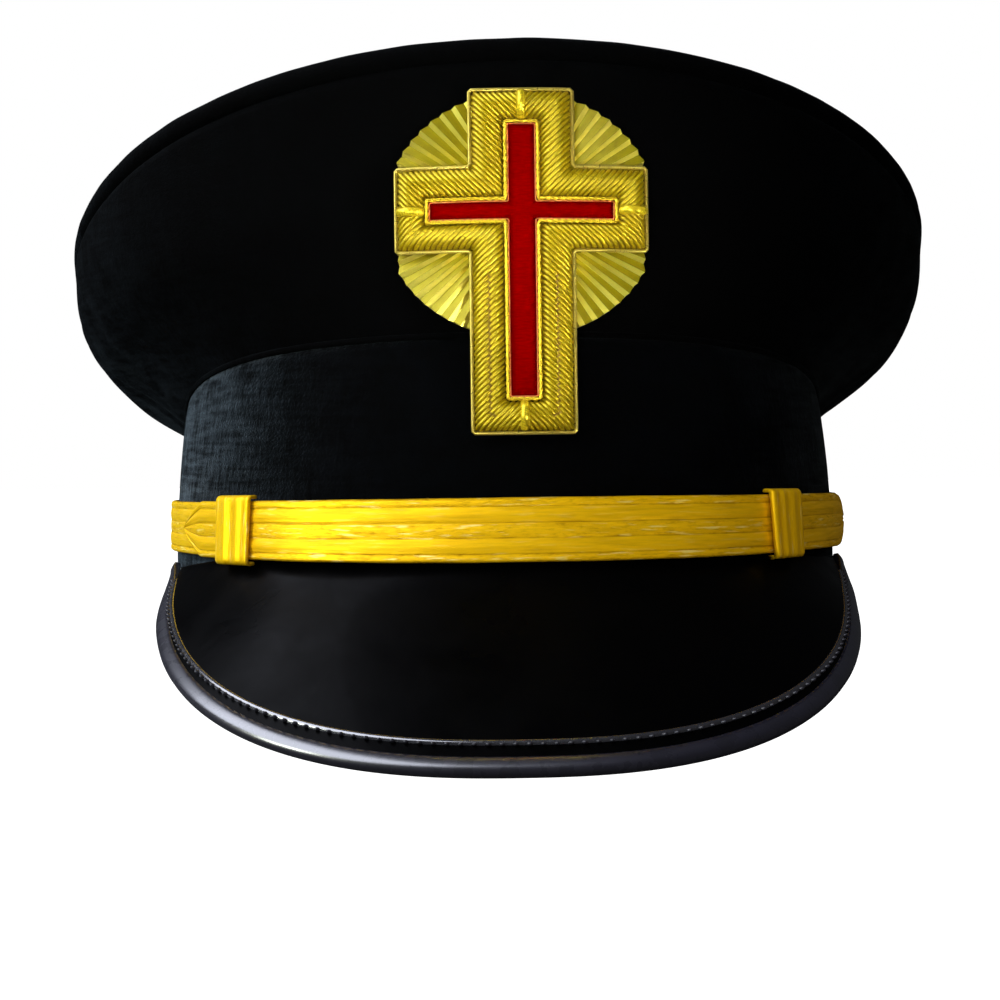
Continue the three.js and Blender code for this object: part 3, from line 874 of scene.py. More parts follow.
crownOut = []
crownIn = []
for angle in around(crown["around"]):
    rowOut = []
    rowIn = []
    for share in steps(crown["up"], 0, 1):
        p = crownPoint(angle, share)
        n = crownNormal(angle, share)
        broad, small = crown["lumps"]
        lump = waver(p.x, p.y, p.z, broad) + 0.5 * waver(p.x, p.y, p.z + 300, small)
        held = math.sin(math.pi * min(1, share * 1.05)) ** 0.5 if share < 0.95 else 0
        rowOut.append(p + n * (lump * crown["waver"] * held + seamDip(angle, p)))
        if not rowIn:
            away = Vector((p.x, p.y, 0)).normalized()
            rowOut.insert(0, p - away * crown["hemIn"] - Vector((0, 0, crown["hemDown"])))
            rowIn.append(rowOut[0] - away * crown["hemDown"])
        rowIn.append(p - n * crown["thickness"])
    under = Vector((0, 0, crown["hemDown"]))
    rowOut.append(ringPoint(crown["rim"], angle, -0.4) - under)
    rowIn.append(ringPoint(crown["rim"], angle, 1.6) - under)
    crownOut.append(rowOut)
    crownIn.append(rowIn)
shell("crownQuarters", crownOut, crownIn, crownWool, ["crown_quarters"])

lining = {"around": 160, "up": 14, "low": 0.03, "high": 0.97, "gap": 0.3, "thickness": 0.5}
liningOut = []
liningIn = []
for angle in around(lining["around"]):
    rowOut = []
    rowIn = []
    for share in steps(lining["up"], lining["low"], lining["high"]):
        n = crownNormal(angle, share)
        outside = crownPoint(angle, share) - n * (crown["thickness"] + lining["gap"])
        rowOut.append(outside)
        rowIn.append(outside - n * lining["thickness"])
    liningOut.append(rowOut)
    liningIn.append(rowIn)
shell("crownLining", liningOut, liningIn, liningCloth)

welt = {
    "around": 420, "radius": 2.9, "sides": 28, "upDown": 0.18, "upDownLump": 9, "inOut": 0.15,
    "inOutLump": 7,
}
rimPath = []
for angle in around(welt["around"]):
    p = ringPoint(crown["rim"], angle)
    p.z += welt["upDown"] * waver(p.x, p.y, 0, welt["upDownLump"])
    away = Vector((p.x, p.y, 0)).normalized()
    rimPath.append(p + away * (welt["inOut"] * waver(p.x, p.y, 50, welt["inOutLump"])))
dress(
    threads("crownWelt", [(rimPath, True)], welt["radius"], crownWool, sides=welt["sides"]),
    None, ["crown_welt"],
)


def topPoint(angle, share, height):
    edge = ringPoint(crown["rim"], angle, crown["topIn"])
    rim = crown["rim"]
    slope = (rim["atBack"] - rim["atFront"]) / (rim["back"] + rim["front"])
    x, y = edge.x * share, edge.y * share
    sag = crown["sag"] * (1 - share * share)
    lump = crown["topWaver"] * waver(x, y, 9, crown["topLump"]) * math.sin(math.pi * share)
    return Vector((x, y, rim["atSide"] + y * slope + rim["tilt"] * x + height - sag + lump))


def disc(place, rings, spokes, top, bottom):
    # A closed plate of rings and spokes; place takes an angle, a share of the way out and a side.
    points = [place(0, 0, top), place(0, 0, bottom)]
    faces = []
    for side in (top, bottom):
        for share in rings:
            points += [place(angle, share, side) for angle in around(spokes)]
    count = len(rings)
    for i in range(spokes):
        j = (i + 1) % spokes
        faces += [[0, 2 + i, 2 + j], [1, 2 + count * spokes + j, 2 + count * spokes + i]]
        for r in range(count - 1):
            a = 2 + r * spokes
            b = a + count * spokes
            faces.append([a + i, a + spokes + i, a + spokes + j, a + j])
            faces.append([b + i, b + j, b + spokes + j, b + spokes + i])
        a = 2 + (count - 1) * spokes
        b = a + count * spokes
        faces.append([a + i, b + i, b + j, a + j])
    return points, turnOut(points, faces)


topRings = [0.05, *steps(22, 0.1, 0.97), 0.985, 1.0]
crownTop = disc(topPoint, topRings, crown["topSpokes"], 1.6, -0.9)
dress(makeMesh("crownTop", *crownTop), crownWool, ["crown_top"])
print("crown ready")

# Peak.

peak = {
    "rootAngle": math.radians(65),
    "rootHalf": 87.7,
    "rootFront": 104.7,
    "edgeHalf": 83.3,
    "edgeShift": -1,
    "shiftFrom": 48,
    "shiftTo": 72,
    "edgeCentre": -45,
    "edgeReach": 97,
    "edgePower": 2.45,
    "slope": 0.5627,
    "levelAt": 28.26,
    "lastY": -55.5,
    "corner": [(83.5, -43), (83.2, -40)],
    "rootDrop": -0.6,
    "kneeOut": 0.012,
    "kneeDown": 0.12,
    "bulgeAt": 0.45,
    "bulge": 1.4,
    "longest": 64,
    "across": 168,
    "down": 34,
    "tuckIn": 2.1,
    "rootThick": 1.2,
    "edgeThick": 2.2,
    "bindingReach": 2,
    "bindingThick": 1.8,
    "besideTo": 0.985,
    "beadIn": 7.7,
    "beadLift": -0.35,
    "beadRadius": 0.8,
    "stitchIn": 7.2,
    "stitchLift": 0.02,
    "stitchSpacing": 2.7,
    "stitchSize": (0.6, 1.15, 0.4),
}


def edgeHeight(x, y):
    return Vector((x, y, peak["levelAt"] + peak["slope"] * y))


halfEdge = []
for share in steps(16, 0, 1):
    ex, ey = oval(
        share * math.pi / 2, peak["edgeHalf"], peak["edgeReach"], peak["edgeReach"],
        peak["edgePower"],
    )
    halfEdge.append(edgeHeight(ex, ey + peak["edgeCentre"]))
halfEdge += [edgeHeight(x, y) for x, y in peak["corner"]]
edgePoints = [Vector((-p.x, p.y, p.z)) for p in halfEdge[:0:-1]] + halfEdge
edgePoints = [
    p + Vector((peak["edgeShift"] * smoothStep(-p.y, peak["shiftFrom"], peak["shiftTo"]), 0, 0))
    for p in edgePoints
]

# The edge is read by its length, so its points are first laid out with their distances.
edgeFine = [throughPoints(edgePoints, s) for s in steps(2400, 0, 1)]
edgeLong = [0.0]
for before, after in zip(edgeFine, edgeFine[1:]):
    edgeLong.append(edgeLong[-1] + (after - before).length)


def edgeAt(share):
    # Share runs from -1 at one corner to 1 at the other.
    want = (share + 1) / 2 * edgeLong[-1]
    low, high = 0, len(edgeLong) - 1
    while high - low > 1:
        middle = (low + high) // 2
        if edgeLong[middle] <= want:
            low = middle
        else:
            high = middle
    part = (want - edgeLong[low]) / (edgeLong[high] - edgeLong[low])
    return edgeFine[low].lerp(edgeFine[high], min(1, max(0, part)))


sheetShare = 1.0
while edgeAt(sheetShare).y > peak["lastY"]:
    sheetShare -= 0.001


def peakCurve(u):
    x, y = oval(u * peak["rootAngle"], peak["rootHalf"], peak["rootFront"], peak["rootFront"])
    root = Vector((x, y, (y + peak["rootFront"]) * 0.1 + peak["rootDrop"]))
    edge = edgeAt(u * sheetShare)
    way = edge - root
    long = way.length
    level = Vector((way.x, way.y, 0)).normalized()
    knee = root + level * (long * peak["kneeOut"]) - Vector((0, 0, long * peak["kneeDown"]))
    lift = peak["bulge"] * long / peak["longest"]
    raised = edge.lerp(root, peak["bulgeAt"]) + Vector((0, 0, lift))
    return root, knee, raised, edge


def alongCurve(curve, v):
    w = 1 - v
    return (
        curve[0] * w ** 3 + curve[1] * (3 * w * w * v) + curve[2] * (3 * w * v * v)
        + curve[3] * v ** 3
    )


def curveRow(curve, count, end):
    # Points at equal distances along the curve, up to a length of end short of its edge.
    fine = [alongCurve(curve, v) for v in steps(160, 0, 1)]
    far = [0.0]
    for before, after in zip(fine, fine[1:]):
        far.append(far[-1] + (after - before).length)
    row = []
    at = 0
    for want in steps(count, 0, far[-1] - end):
        while at < len(far) - 2 and far[at + 1] < want:
            at += 1
        part = (want - far[at]) / (far[at + 1] - far[at])
        row.append(fine[at].lerp(fine[at + 1], part))
    return row


peakRows = [
    curveRow(peakCurve(u), peak["down"], peak["tuckIn"]) for u in steps(peak["across"], -1, 1)
]


def gridNormal(rows, i, j):
    left = rows[max(0, i - 1)][j]
    right = rows[min(len(rows) - 1, i + 1)][j]
    over = rows[i][max(0, j - 1)]
    under = rows[i][min(len(rows[i]) - 1, j + 1)]
    return (under - over).cross(right - left).normalized()


peakSections = []
for i, row in enumerate(peakRows):
    outside = []
    inside = []
    for j, p in enumerate(row):
        n = gridNormal(peakRows, i, j)
        share = j / peak["down"]
        thick = peak["rootThick"] + (peak["edgeThick"] - peak["rootThick"]) * share
        outside.append(p + n * (0.12 * waver(p.x, p.y, 20, 26) * math.sin(math.pi * share)))
        inside.append(p - n * thick)
    peakSections.append(outside + inside[::-1])
dress(
    makeMesh("peakLeather", *loft(peakSections, False)), patentBlack, ["peak"]
)

# Binding: a strip folded over the rim, flat on both faces and rounded over the edge.


def edgeFrame(share):
    here = edgeAt(share)
    along = (edgeAt(min(1, share + 0.002)) - edgeAt(max(-1, share - 0.002))).normalized()
    u = min(1, max(-1, share / sheetShare))
    row = min(peak["across"], max(0, round((u + 1) / 2 * peak["across"])))
    n = gridNormal(peakRows, row, peak["down"])
    past = max(0, abs(share) - sheetShare) / (1 - sheetShare)
    n = n.lerp(Vector((math.copysign(1, share), -0.25, 0)).normalized(), past)
    n = (n - along * n.dot(along)).normalized()
    return here, n, n.cross(along).normalized(), past


bindingSection = [
    (-2.0, 0.0), (-1.93, 0.72), (-1.62, 1.3), (-1.05, 1.68), (-0.2, 1.82), (0.8, 1.72),
    (1.55, 1.5), (2.05, 1.2), (2.2, 0.7), (2.2, -0.7), (2.05, -1.1), (1.55, -1.38),
    (0.8, -1.56), (-0.2, -1.58), (-1.05, -1.36), (-1.55, -1.03), (-1.88, -0.62), (-1.99, -0.25),
]
bindingSections = []
for share in steps(360, -1, 1):
    here, n, inward, past = edgeFrame(share)
    size = 1 - 0.45 * past
    centre = here + inward * (peak["bindingReach"] * size) - n * (peak["edgeThick"] / 2 * size)
    bindingSections.append([
        centre + inward * (a * size) + n * (b * size * peak["bindingThick"] / 1.82)
        for a, b in bindingSection
    ])
dress(
    makeMesh("peakBinding", *loft(bindingSections, False)), edgeBinding,
    ["peak_binding"],
)


def besideEdge(inward, lift):
    # A path on the peak that keeps a set distance from its rim.
    path = []
    for i, u in enumerate(steps(peak["across"], -1, 1)):
        if abs(u) <= peak["besideTo"]:
            end = curveRow(peakCurve(u), peak["down"], inward)[-1]
            path.append(end + gridNormal(peakRows, i, peak["down"] - 2) * lift)
    return path


beadPath = besideEdge(peak["beadIn"], peak["beadLift"])
bead = threads("peakBead", [(beadPath, False)], peak["beadRadius"], edgeBead, sides=12)
dress(bead, None)
stitchPath = besideEdge(peak["stitchIn"], peak["stitchLift"])
stitches = bakeTree("peakStitches", [(stitchPath, False)], stitchTree, {
    "Spacing": peak["stitchSpacing"], "Stitch Size": peak["stitchSize"], "Unevenness": 0.12,
    "Seed": 4, "Material": stitchThread,
})
dress(stitches, None)
print("peak ready")

# Chin strap.

strap = {
    "height": 13.2,
    "wider": 1,
    "frontAt": 3,
    "slope": 0.215,
    "thick": 1.6,
    "front": 103,
    "half": 86,
    "back": 101,
    "left": math.radians(-58.5),
    "right": math.radians(67),
    "across": 44,
    "off": 2.4,
    "lowOff": 1.9,
    "topIn": 1.2,
    "under": {"from": 102, "to": 50, "thick": 1.4, "offset": 0.55, "reach": 0.96},
}


def strapPoint(angle, share, offset):
    x, y = oval(angle, strap["half"] + offset, strap["front"] + offset, strap["back"] + offset)
    height = strap["height"] + strap["wider"] * max(0, math.cos(angle)) ** 4
    return Vector((x, y, strap["frontAt"] + (y + 105) * strap["slope"] + share * height / 2))


def strapOffset(angle, share):
    # In front, the strap's lower edge rides out over the peak and its upper edge lies on the band.
    front = 1 - smoothStep(abs(angle), math.radians(20), math.radians(50))
    inmost = 1 - smoothStep(abs(angle), math.radians(16), math.radians(34))
    low = strap["off"] + strap["lowOff"] * front
    top = strap["off"] - strap["topIn"] * inmost
    return low + (top - low) * (share + 1) / 2


# The face of the lace across its height: ribs and the grooves between them, in millimetres.
laceProfile = [
    (-1.0, -0.55), (-0.96, -0.1), (-0.86, 0.02), (-0.76, -0.22), (-0.72, -0.05), (-0.5, 0.16),
    (-0.3, 0.0), (-0.25, -0.26), (-0.2, -0.04), (0.0, 0.05), (0.18, -0.04), (0.22, -0.26),
    (0.27, 0.0), (0.48, 0.16), (0.68, -0.03), (0.73, -0.22), (0.78, 0.0), (0.88, 0.03),
    (0.96, -0.1), (1.0, -0.55),
]


def laceStrip(name, start, end, count, reachAt, offsetAt, thick, node, ribbing=1.0):
    # A strip of lace between two angles, with its own UV map in millimetres along and shares across.
    across = strap["across"]
    sections = []
    uvs = []
    walked = 0.0
    last = None
    for s in steps(count, 0, 1):
        angle = start + (end - start) * s
        reach = reachAt(s)
        face = []
        middle = strapPoint(angle, 0, offsetAt(angle, 0) + thick)
        if last:
            walked += (middle - last).length
        last = middle
        wavy = 0.1 * waver(walked, 0, 3, 11)
        for side in steps(across, -1, 1):
            relief = blendAt(laceProfile, side) * ribbing
            relief += 0.08 * waver(walked, side * 9, 5, 9)
            share = side * reach + wavy * 0.12
            face.append(strapPoint(angle, share, offsetAt(angle, side * reach) + thick + relief))
            uvs.append((walked, side))
        back = []
        for side in steps(across, 1, -1):
            share = side * reach + wavy * 0.12
            back.append(strapPoint(angle, share, offsetAt(angle, side * reach)))
            uvs.append((walked, side))
        sections.append(face + back)
    points, faces = loft(sections, False)
    return dress(makeMesh(name, points, faces, uvs), goldLace, [node])


def tongueReach(s):
    pointed = min(1, 0.06 + (s * 20) ** 0.75) if s < 0.05 else 1
    fromRight = min(1, (1 - s) * 24)
    rounded = math.sqrt(max(0, 1 - (1 - fromRight) ** 2))
    return max(0.05, min(pointed, 0.3 + 0.7 * rounded))


laceStrip(
    "chinStrap", strap["left"], strap["right"], 420, tongueReach, strapOffset, strap["thick"],
    "chin_strap",
)
under = strap["under"]
for side, sign in (("Left", -1), ("Right", 1)):
    laceStrip(
        "strapEnd" + side, math.radians(sign * under["from"]), math.radians(sign * under["to"]),
        150, lambda s: under["reach"] * min(1, 0.4 + s * 9), lambda a, b: under["offset"],
        under["thick"], "strap_end_" + side.lower(), 0.7,
    )

# Keepers: a strip of the same lace folded round the strap, ribbed from edge to edge. On each, one
# part stands higher (by rise, from the first share of its width to the second), with a dent beside.
keeper = {
    "gap": 0.6,
    "thick": 1,
    "across": 26,
    "outer": [(-1.09, 0.3), (-1.18, 0.3), (-1.2, 1.0), (-1.2, 1.9), (-1.17, 2.6), (-1.1, 3.05)],
    "Left": {"from": -46, "to": -38.6, "rise": (0.35, 0.55, 0.4), "dent": (0.25, 0.42)},
    "Right": {"from": 37.6, "to": 45.2, "rise": (0.5, 0.22, 0.1), "dent": (0.3, 0.26)},
}
for side in ("Left", "Right"):
    own = keeper[side]
    rise, riseFrom, riseTo = own["rise"]
    dent, dentAt = own["dent"]
    sections = []
    uvs = []
    near = strap["thick"] + keeper["gap"]
    far = near + keeper["thick"]
    for s in steps(keeper["across"], 0, 1):
        angle = math.radians(own["from"] + (own["to"] - own["from"]) * s)
        fold = 0.16 * math.cos(s * math.pi * 6) - 0.5 * (abs(s - 0.5) * 2) ** 8
        fold += rise * smoothStep(s, riseFrom, riseTo)
        fold -= dent * math.exp(-(((s - dentAt) / 0.05) ** 2))
        loop = []
        middle = [(share, far) for share in steps(14, -1.02, 1.02)]
        front = keeper["outer"] + middle + [(-share, out) for share, out in keeper["outer"][::-1]]
        back = [(1.07, 0.5), (1.07, 1.4), (1.07, near)]
        back += [(share, near) for share in steps(18, 1.0, -1.0)]
        back += [(-1.07, near), (-1.07, 1.4), (-1.07, 0.5)]
        while len(back) < len(front):
            back.insert(5, (back[4][0] * 0.5 + back[5][0] * 0.5, near))
        for n, (share, out) in enumerate(front + back):
            lift = fold if n < len(front) and out > 2 else 0
            p = strapPoint(angle, share, strapOffset(angle, max(-1, min(1, share))) + out + lift)
            loop.append(p)
            uvs.append((share * 7, s * 2 - 1))
        sections.append(loop)
    points, faces = loft(sections, False)
    dress(
        makeMesh("strapKeeper" + side, points, faces, uvs), keeperLace,
        ["strap_keeper_" + side.lower()],
    )

# Side buttons: plain domes with a rolled rim, given by radius and height.
button = {
    "at": 98,
    "gap": 0.7,
    "spokes": 56,
    "height": 3.9,
    "profile": [
        (2.6, 0.0), (5.2, 0.0), (5.9, 0.12), (6.2, 0.5), (6.2, 0.95), (5.95, 1.3), (5.6, 1.38),
        (5.35, 1.5), (5.1, 1.9), (4.6, 2.45), (3.9, 2.95), (3.0, 3.4), (2.0, 3.7), (1.0, 3.86),
    ],
}
for side, sign in (("Left", -1), ("Right", 1)):
    seat = strapPoint(
        math.radians(sign * button["at"]), 0, under["offset"] + under["thick"] + button["gap"]
    )
    points = [seat, seat + Vector((sign * button["height"], 0, 0))]
    faces = []
    rows = button["profile"]
    spokes = button["spokes"]
    for radius, rise in rows:
        for turn in around(spokes):
            points.append(seat + Vector((
                sign * rise, radius * math.cos(turn), radius * math.sin(turn)
            )))
    for i in range(spokes):
        j = (i + 1) % spokes
        faces.append([0, 2 + i, 2 + j])
        top = 2 + (len(rows) - 1) * spokes
        faces.append([1, top + j, top + i])
        for r in range(len(rows) - 1):
            a = 2 + r * spokes
            faces.append([a + i, a + spokes + i, a + spokes + j, a + j])
    dress(
        makeMesh("sideButton" + side, points, turnOut(points, faces)), buttonBrass,
        ["side_button_" + side.lower()],
    )
print("strap ready")

# Badge.

badge = {
    "x": 2.2,
    "y": -113,
    "z": 72.5,
    "lean": math.radians(10.5),
    "bend": 112,
    "base": 1.7,
    "discAcross": 30.6,
    "discUp": 27.2,
    "discMiddle": -0.6,
    "discCut": 27.3,
    "rays": 60,
    "facet": 0.375,
    "ridge": 1.5,
    "groove": 0.75,
    "ribPitch": 1.25,
    "ribRadius": 0.47,
    "ribSink": 0.3,
    "ribStep": 0.12,
    "ribEndDip": 0.5,
    "wireRadius": 0.42,
    "cordRadius": 0.3,
    "cordPitch": 3.0,
    "barRadius": 1.0,
    "profile": [(0, 0.7), (0.18, 2.0), (0.45, 2.7), (0.75, 2.3), (1, 0.9)],
}


def onBadge(u, v, w):
    turn = u / badge["bend"]
    out = (badge["bend"] + w) * math.cos(turn) - badge["bend"]
    sinLean, cosLean = math.sin(badge["lean"]), math.cos(badge["lean"])
    return Vector((
        badge["x"] + (badge["bend"] + w) * math.sin(turn),
        badge["y"] - v * sinLean - out * cosLean,
        badge["z"] + v * cosLean - out * sinLean,
    ))


def cross(shaft, top, foot, arm, over, below):
    return {"shaft": shaft, "top": top, "foot": foot, "arm": arm, "over": over, "below": below}


def grown(c, by):
    return cross(
        c["shaft"] + by, c["top"] + by, c["foot"] - by, c["arm"] + by, c["over"] + by,
        c["below"] - by,
    )


badgeOutline = cross(11.5, 27, -49.1, 27.8, 10.1, -9.1)
redShape = cross(3, 19.1, -40.8, 20, 2.1, -1.9)
frameOuter = grown(badgeOutline, -0.9)
frameInner = grown(redShape, 1.1)


def corners(c):
    s, t, f, a, o, b = (c[k] for k in ("shaft", "top", "foot", "arm", "over", "below"))
    return [
        (s, t), (-s, t), (-s, o), (-a, o), (-a, b), (-s, b), (-s, f), (s, f), (s, b), (a, b),
        (a, o), (s, o),
    ]


def crossPath(c, pitch=0.0, trim=0.0, pieces=None):
    # The sides of a cross in short steps, by a pitch or by fixed counts; a trim cuts the corners.
    path = []
    loop = corners(c)
    for i, (u, v) in enumerate(loop):
        u2, v2 = loop[(i + 1) % len(loop)]
        long = math.hypot(u2 - u, v2 - v)
        du, dv = (u2 - u) / long, (v2 - v) / long
        count = pieces[i] if pieces else max(1, int((long - 2 * trim) / pitch))
        for s in steps(count, trim, long - trim)[: None if trim else -1]:
            path.append((u + du * s, v + dv * s))
    return path


def insideBy(c, u, v):
    # How far a point lies within a cross, with mitred corners; below 0 it is outside.
    a = abs(u)
    inShaft = min(c["shaft"] - a, c["top"] - v, v - c["foot"])
    inArm = min(c["arm"] - a, c["over"] - v, v - c["below"])
    return max(inShaft, inArm)


def frameShare(u, v):
    # 0 at the outer edge of the padded frame and 1 at its inner edge.
    outer = insideBy(frameOuter, u, v)
    inner = -insideBy(frameInner, u, v)
    return outer / (outer + inner) if outer + inner > 0 else 0


badgePieces = [12, 8, 10, 10, 10, 16, 12, 16, 10, 10, 10, 8]


def crossBand(start, end, profile, floor):
    outer = crossPath(start, pieces=badgePieces)
    inner = crossPath(end, pieces=badgePieces)
    sections = []
    for (u, v), (u2, v2) in zip(outer, inner):
        row = [onBadge(u, v, floor)]
        for share, height in profile:
            row.append(onBadge(u + (u2 - u) * share, v + (v2 - v) * share, floor + height))
        row.append(onBadge(u2, v2, floor))
        sections.append(row)
    return loft(sections, True)


# Rayed disc: uneven folds of gold that run out from the centre, thin at the tips.


def discSpot(angle, share, w):
    # The disc is cut off straight behind the arms of the cross.
    widest = badge["discAcross"] * abs(math.sin(angle))
    reach = share * min(1, badge["discCut"] / max(widest, 1e-6))
    u = badge["discAcross"] * reach * math.sin(angle)
    v = badge["discMiddle"] + badge["discUp"] * reach * math.cos(angle)
    return onBadge(u, v, w)


def foldShare(angle):
    # Folds run alike down both sides, so the narrow face of each looks down and outwards.
    turn = angle if angle <= math.pi else 2 * math.pi - angle
    return turn / (2 * math.pi) * badge["rays"] % 1


def discPoint(angle, share, side):
    if side < 0:
        return discSpot(angle, share, 0)
    fold = foldShare(angle)
    wide = 1 - badge["facet"]
    rise = fold / wide if fold < wide else (1 - fold) / badge["facet"]
    depth = (badge["ridge"] - badge["groove"]) * smoothStep(share, 0.05, 0.5)
    reach = share * (1 - 0.008 * (1 - rise) * smoothStep(share, 0.85, 1))
    return discSpot(angle, reach, badge["groove"] + depth * rise)


discRings = [*steps(18, 0.04, 0.97), 0.99, 1.0]
rayed = disc(discPoint, discRings, badge["rays"] * 8, 1, -1)
rayDisc = makeMesh("badgeDisc", *rayed)
rayDisc.data.materials.append(rayGold)
rayDisc.data.materials.append(facetHighlightGold)
dress(rayDisc, None, ["badge_disc"])
# Each face of the disc is found again by its middle: the narrow side of a fold takes the paler gold, a
# painted highlight.
badgeBack = capPlace.inverted()
for polygon in rayDisc.data.polygons:
    polygon.use_smooth = False
    spot = badgeBack @ polygon.center
    lower = (spot.z - badge["z"]) * math.cos(badge["lean"]) - (spot.y - badge["y"]) * math.sin(
        badge["lean"]
    )
    u = badge["bend"] * math.asin(
        max(-1, min(1, (spot.x - badge["x"]) / (badge["bend"] + badge["groove"])))
    )
    angle = math.atan2(u / badge["discAcross"], (lower - badge["discMiddle"]) / badge["discUp"])
    narrow = foldShare(angle % (2 * math.pi)) > 1 - badge["facet"]
    polygon.material_index = 1 if narrow else 0

# The padded frame under the ribs, dark as painted shade in the gaps between them.
padProfile = [(s, max(0.15, blendAt(badge["profile"], s) - 0.55)) for s in steps(10, 0, 1)]
pad = crossBand(frameOuter, frameInner, padProfile, badge["base"])
dress(makeMesh("badgePad", *pad), padShadeGold, ["badge_frame"])


def ribRuns():
    # Every rib lies at 45 degrees and points at the crossing, in each quarter of the cross.
    runs = []
    for signU in (-1, 1):
        for signV in (-1, 1):
            tall = frameOuter["top"] if signV > 0 else -frameOuter["foot"]
            lane = -frameOuter["arm"] + 0.4
            while lane < tall:
                run = []
                a = max(0.02, -lane)
                while a < frameOuter["arm"] and a + lane < tall:
                    u, v = a * signU, (a + lane) * signV
                    inFrame = insideBy(frameOuter, u, v) > 0.12 and insideBy(frameInner, u, v) < -0.1
                    if inFrame:
                        run.append((u, v))
                    if run and not inFrame:
                        runs.append(run)
                        run = []
                    a += badge["ribStep"]
                if run:
                    runs.append(run)
                lane += badge["ribPitch"]
    return [run for run in runs if len(run) > 7]


def splitShaft(runs):
    # Low on the shaft the ribs lie in two rows, one beside the other.
    made = []
    for run in runs:
        u, v = run[len(run) // 2]
        if v < -14 and abs(run[0][0]) > 3 and len(run) > 30:
            cut = len(run) // 2
            made += [run[: cut - 2], run[cut + 2:]]
        else:
            made.append(run)
    return made


ribPaths = []
for run in splitShaft(ribRuns()):
    count = max(4, min(14, len(run) // 4))
    path = []
    for n in range(count + 1):
        u, v = run[round(n / count * (len(run) - 1))]
        end = min(n, count - n) / count * len(run) * 0.17
        height = blendAt(badge["profile"], frameShare(u, v))
        dip = badge["ribEndDip"] * (1 - smoothStep(end, 0, 0.9))
        path.append(onBadge(u, v, badge["base"] + height - badge["ribSink"] - dip))
    ribPaths.append((path, False))
ribs = threads(
    "badgeRibs", ribPaths, badge["ribRadius"], bullionGold, sides=8, unevenness=0.05, seed=11
)
dress(ribs, None)
print("ribs", len(ribPaths))

wirePath = [
    onBadge(u, v, badge["base"] + 0.55)
    for u, v in crossPath(grown(badgeOutline, -0.38), 1.0, 0.5)
]
dress(
    threads("badgeWire", [(wirePath, True)], badge["wireRadius"], wireGold, sides=10),
    None, ["badge_wire"],
)

# Cord: two strands twisted round each other along the edge of the red cloth.
cordLine = crossPath(grown(redShape, 0.5), 0.24, 0.25)
cordPaths = []
for phase in (0, math.pi):
    strand = []
    walked = 0.0
    for i, (u, v) in enumerate(cordLine):
        u2, v2 = cordLine[(i + 1) % len(cordLine)]
        long = math.hypot(u2 - u, v2 - v) or 1e-6
        du, dv = (u2 - u) / long, (v2 - v) / long
        turn = walked / badge["cordPitch"] * 2 * math.pi + phase
        side = 0.17 * math.cos(turn)
        rise = 0.1 * math.sin(turn)
        strand.append(onBadge(u - dv * side, v + du * side, badge["base"] + 1.25 + rise))
        walked += long
    cordPaths.append((strand, True))
dress(
    threads("badgeCord", cordPaths, badge["cordRadius"], cordGold, sides=8),
    None, ["badge_cord"],
)
innerPath = [
    onBadge(u, v, badge["base"] + 0.95) for u, v in crossPath(grown(redShape, -0.04), 1.0, 0.25)
]
dress(threads("fieldEdgeThread", [(innerPath, True)], 0.17, edgeThread, sides=6), None)


def crossGrid(c, cell, heightAt, floor):
    # A closed plate in the shape of a cross, gridded finely enough to swell between its edges.
    def lines(marks):
        out = []
        for low, high in zip(marks, marks[1:]):
            out += steps(max(1, round((high - low) / cell)), low, high)[:-1]
        return out + [marks[-1]]

    us = lines([-c["arm"], -c["shaft"], c["shaft"], c["arm"]])
    vs = lines([c["foot"], c["below"], c["over"], c["top"]])
    index = {}
    points = []
    faces = []

    def corner(i, j, low):
        if (i, j, low) not in index:
            index[i, j, low] = len(points)
            height = floor if low else heightAt(us[i], vs[j])
            points.append(onBadge(us[i], vs[j], height))
        return index[i, j, low]

    def filled(i, j):
        if not (0 <= i < len(us) - 1 and 0 <= j < len(vs) - 1):
            return False
        return insideBy(c, (us[i] + us[i + 1]) / 2, (vs[j] + vs[j + 1]) / 2) > 0

    for i in range(len(us) - 1):
        for j in range(len(vs) - 1):
            if not filled(i, j):
                continue
            square = [(i, j), (i + 1, j), (i + 1, j + 1), (i, j + 1)]
            faces.append([corner(a, b, False) for a, b in square])
            faces.append([corner(a, b, True) for a, b in square[::-1]])
            for k, (di, dj) in enumerate([(0, -1), (1, 0), (0, 1), (-1, 0)]):
                if not filled(i + di, j + dj):
                    a, b = square[k], square[(k + 1) % 4]
                    faces.append([
                        corner(*a, True), corner(*b, True), corner(*b, False), corner(*a, False)
                    ])
    depths = [0.0] * len(points)
    for (i, j, low), n in index.items():
        depths[n] = max(0.0, insideBy(c, us[i], vs[j]))
    return points, turnOut(points, faces), depths


fieldShape = grown(redShape, 0.3)
points, faces, depths = crossGrid(
    fieldShape, 0.45,
    lambda u, v: badge["base"] + 0.5 + 0.5 * smoothStep(insideBy(fieldShape, u, v), 0, 2.2),
    badge["base"] + 0.1,
)
field = makeMesh("badgeField", points, faces)
deep = field.data.attributes.new("fromEdge", "FLOAT", "POINT")
for n, value in enumerate(depths):
    deep.data[n].value = value
dress(field, redSatin, ["badge_field"])

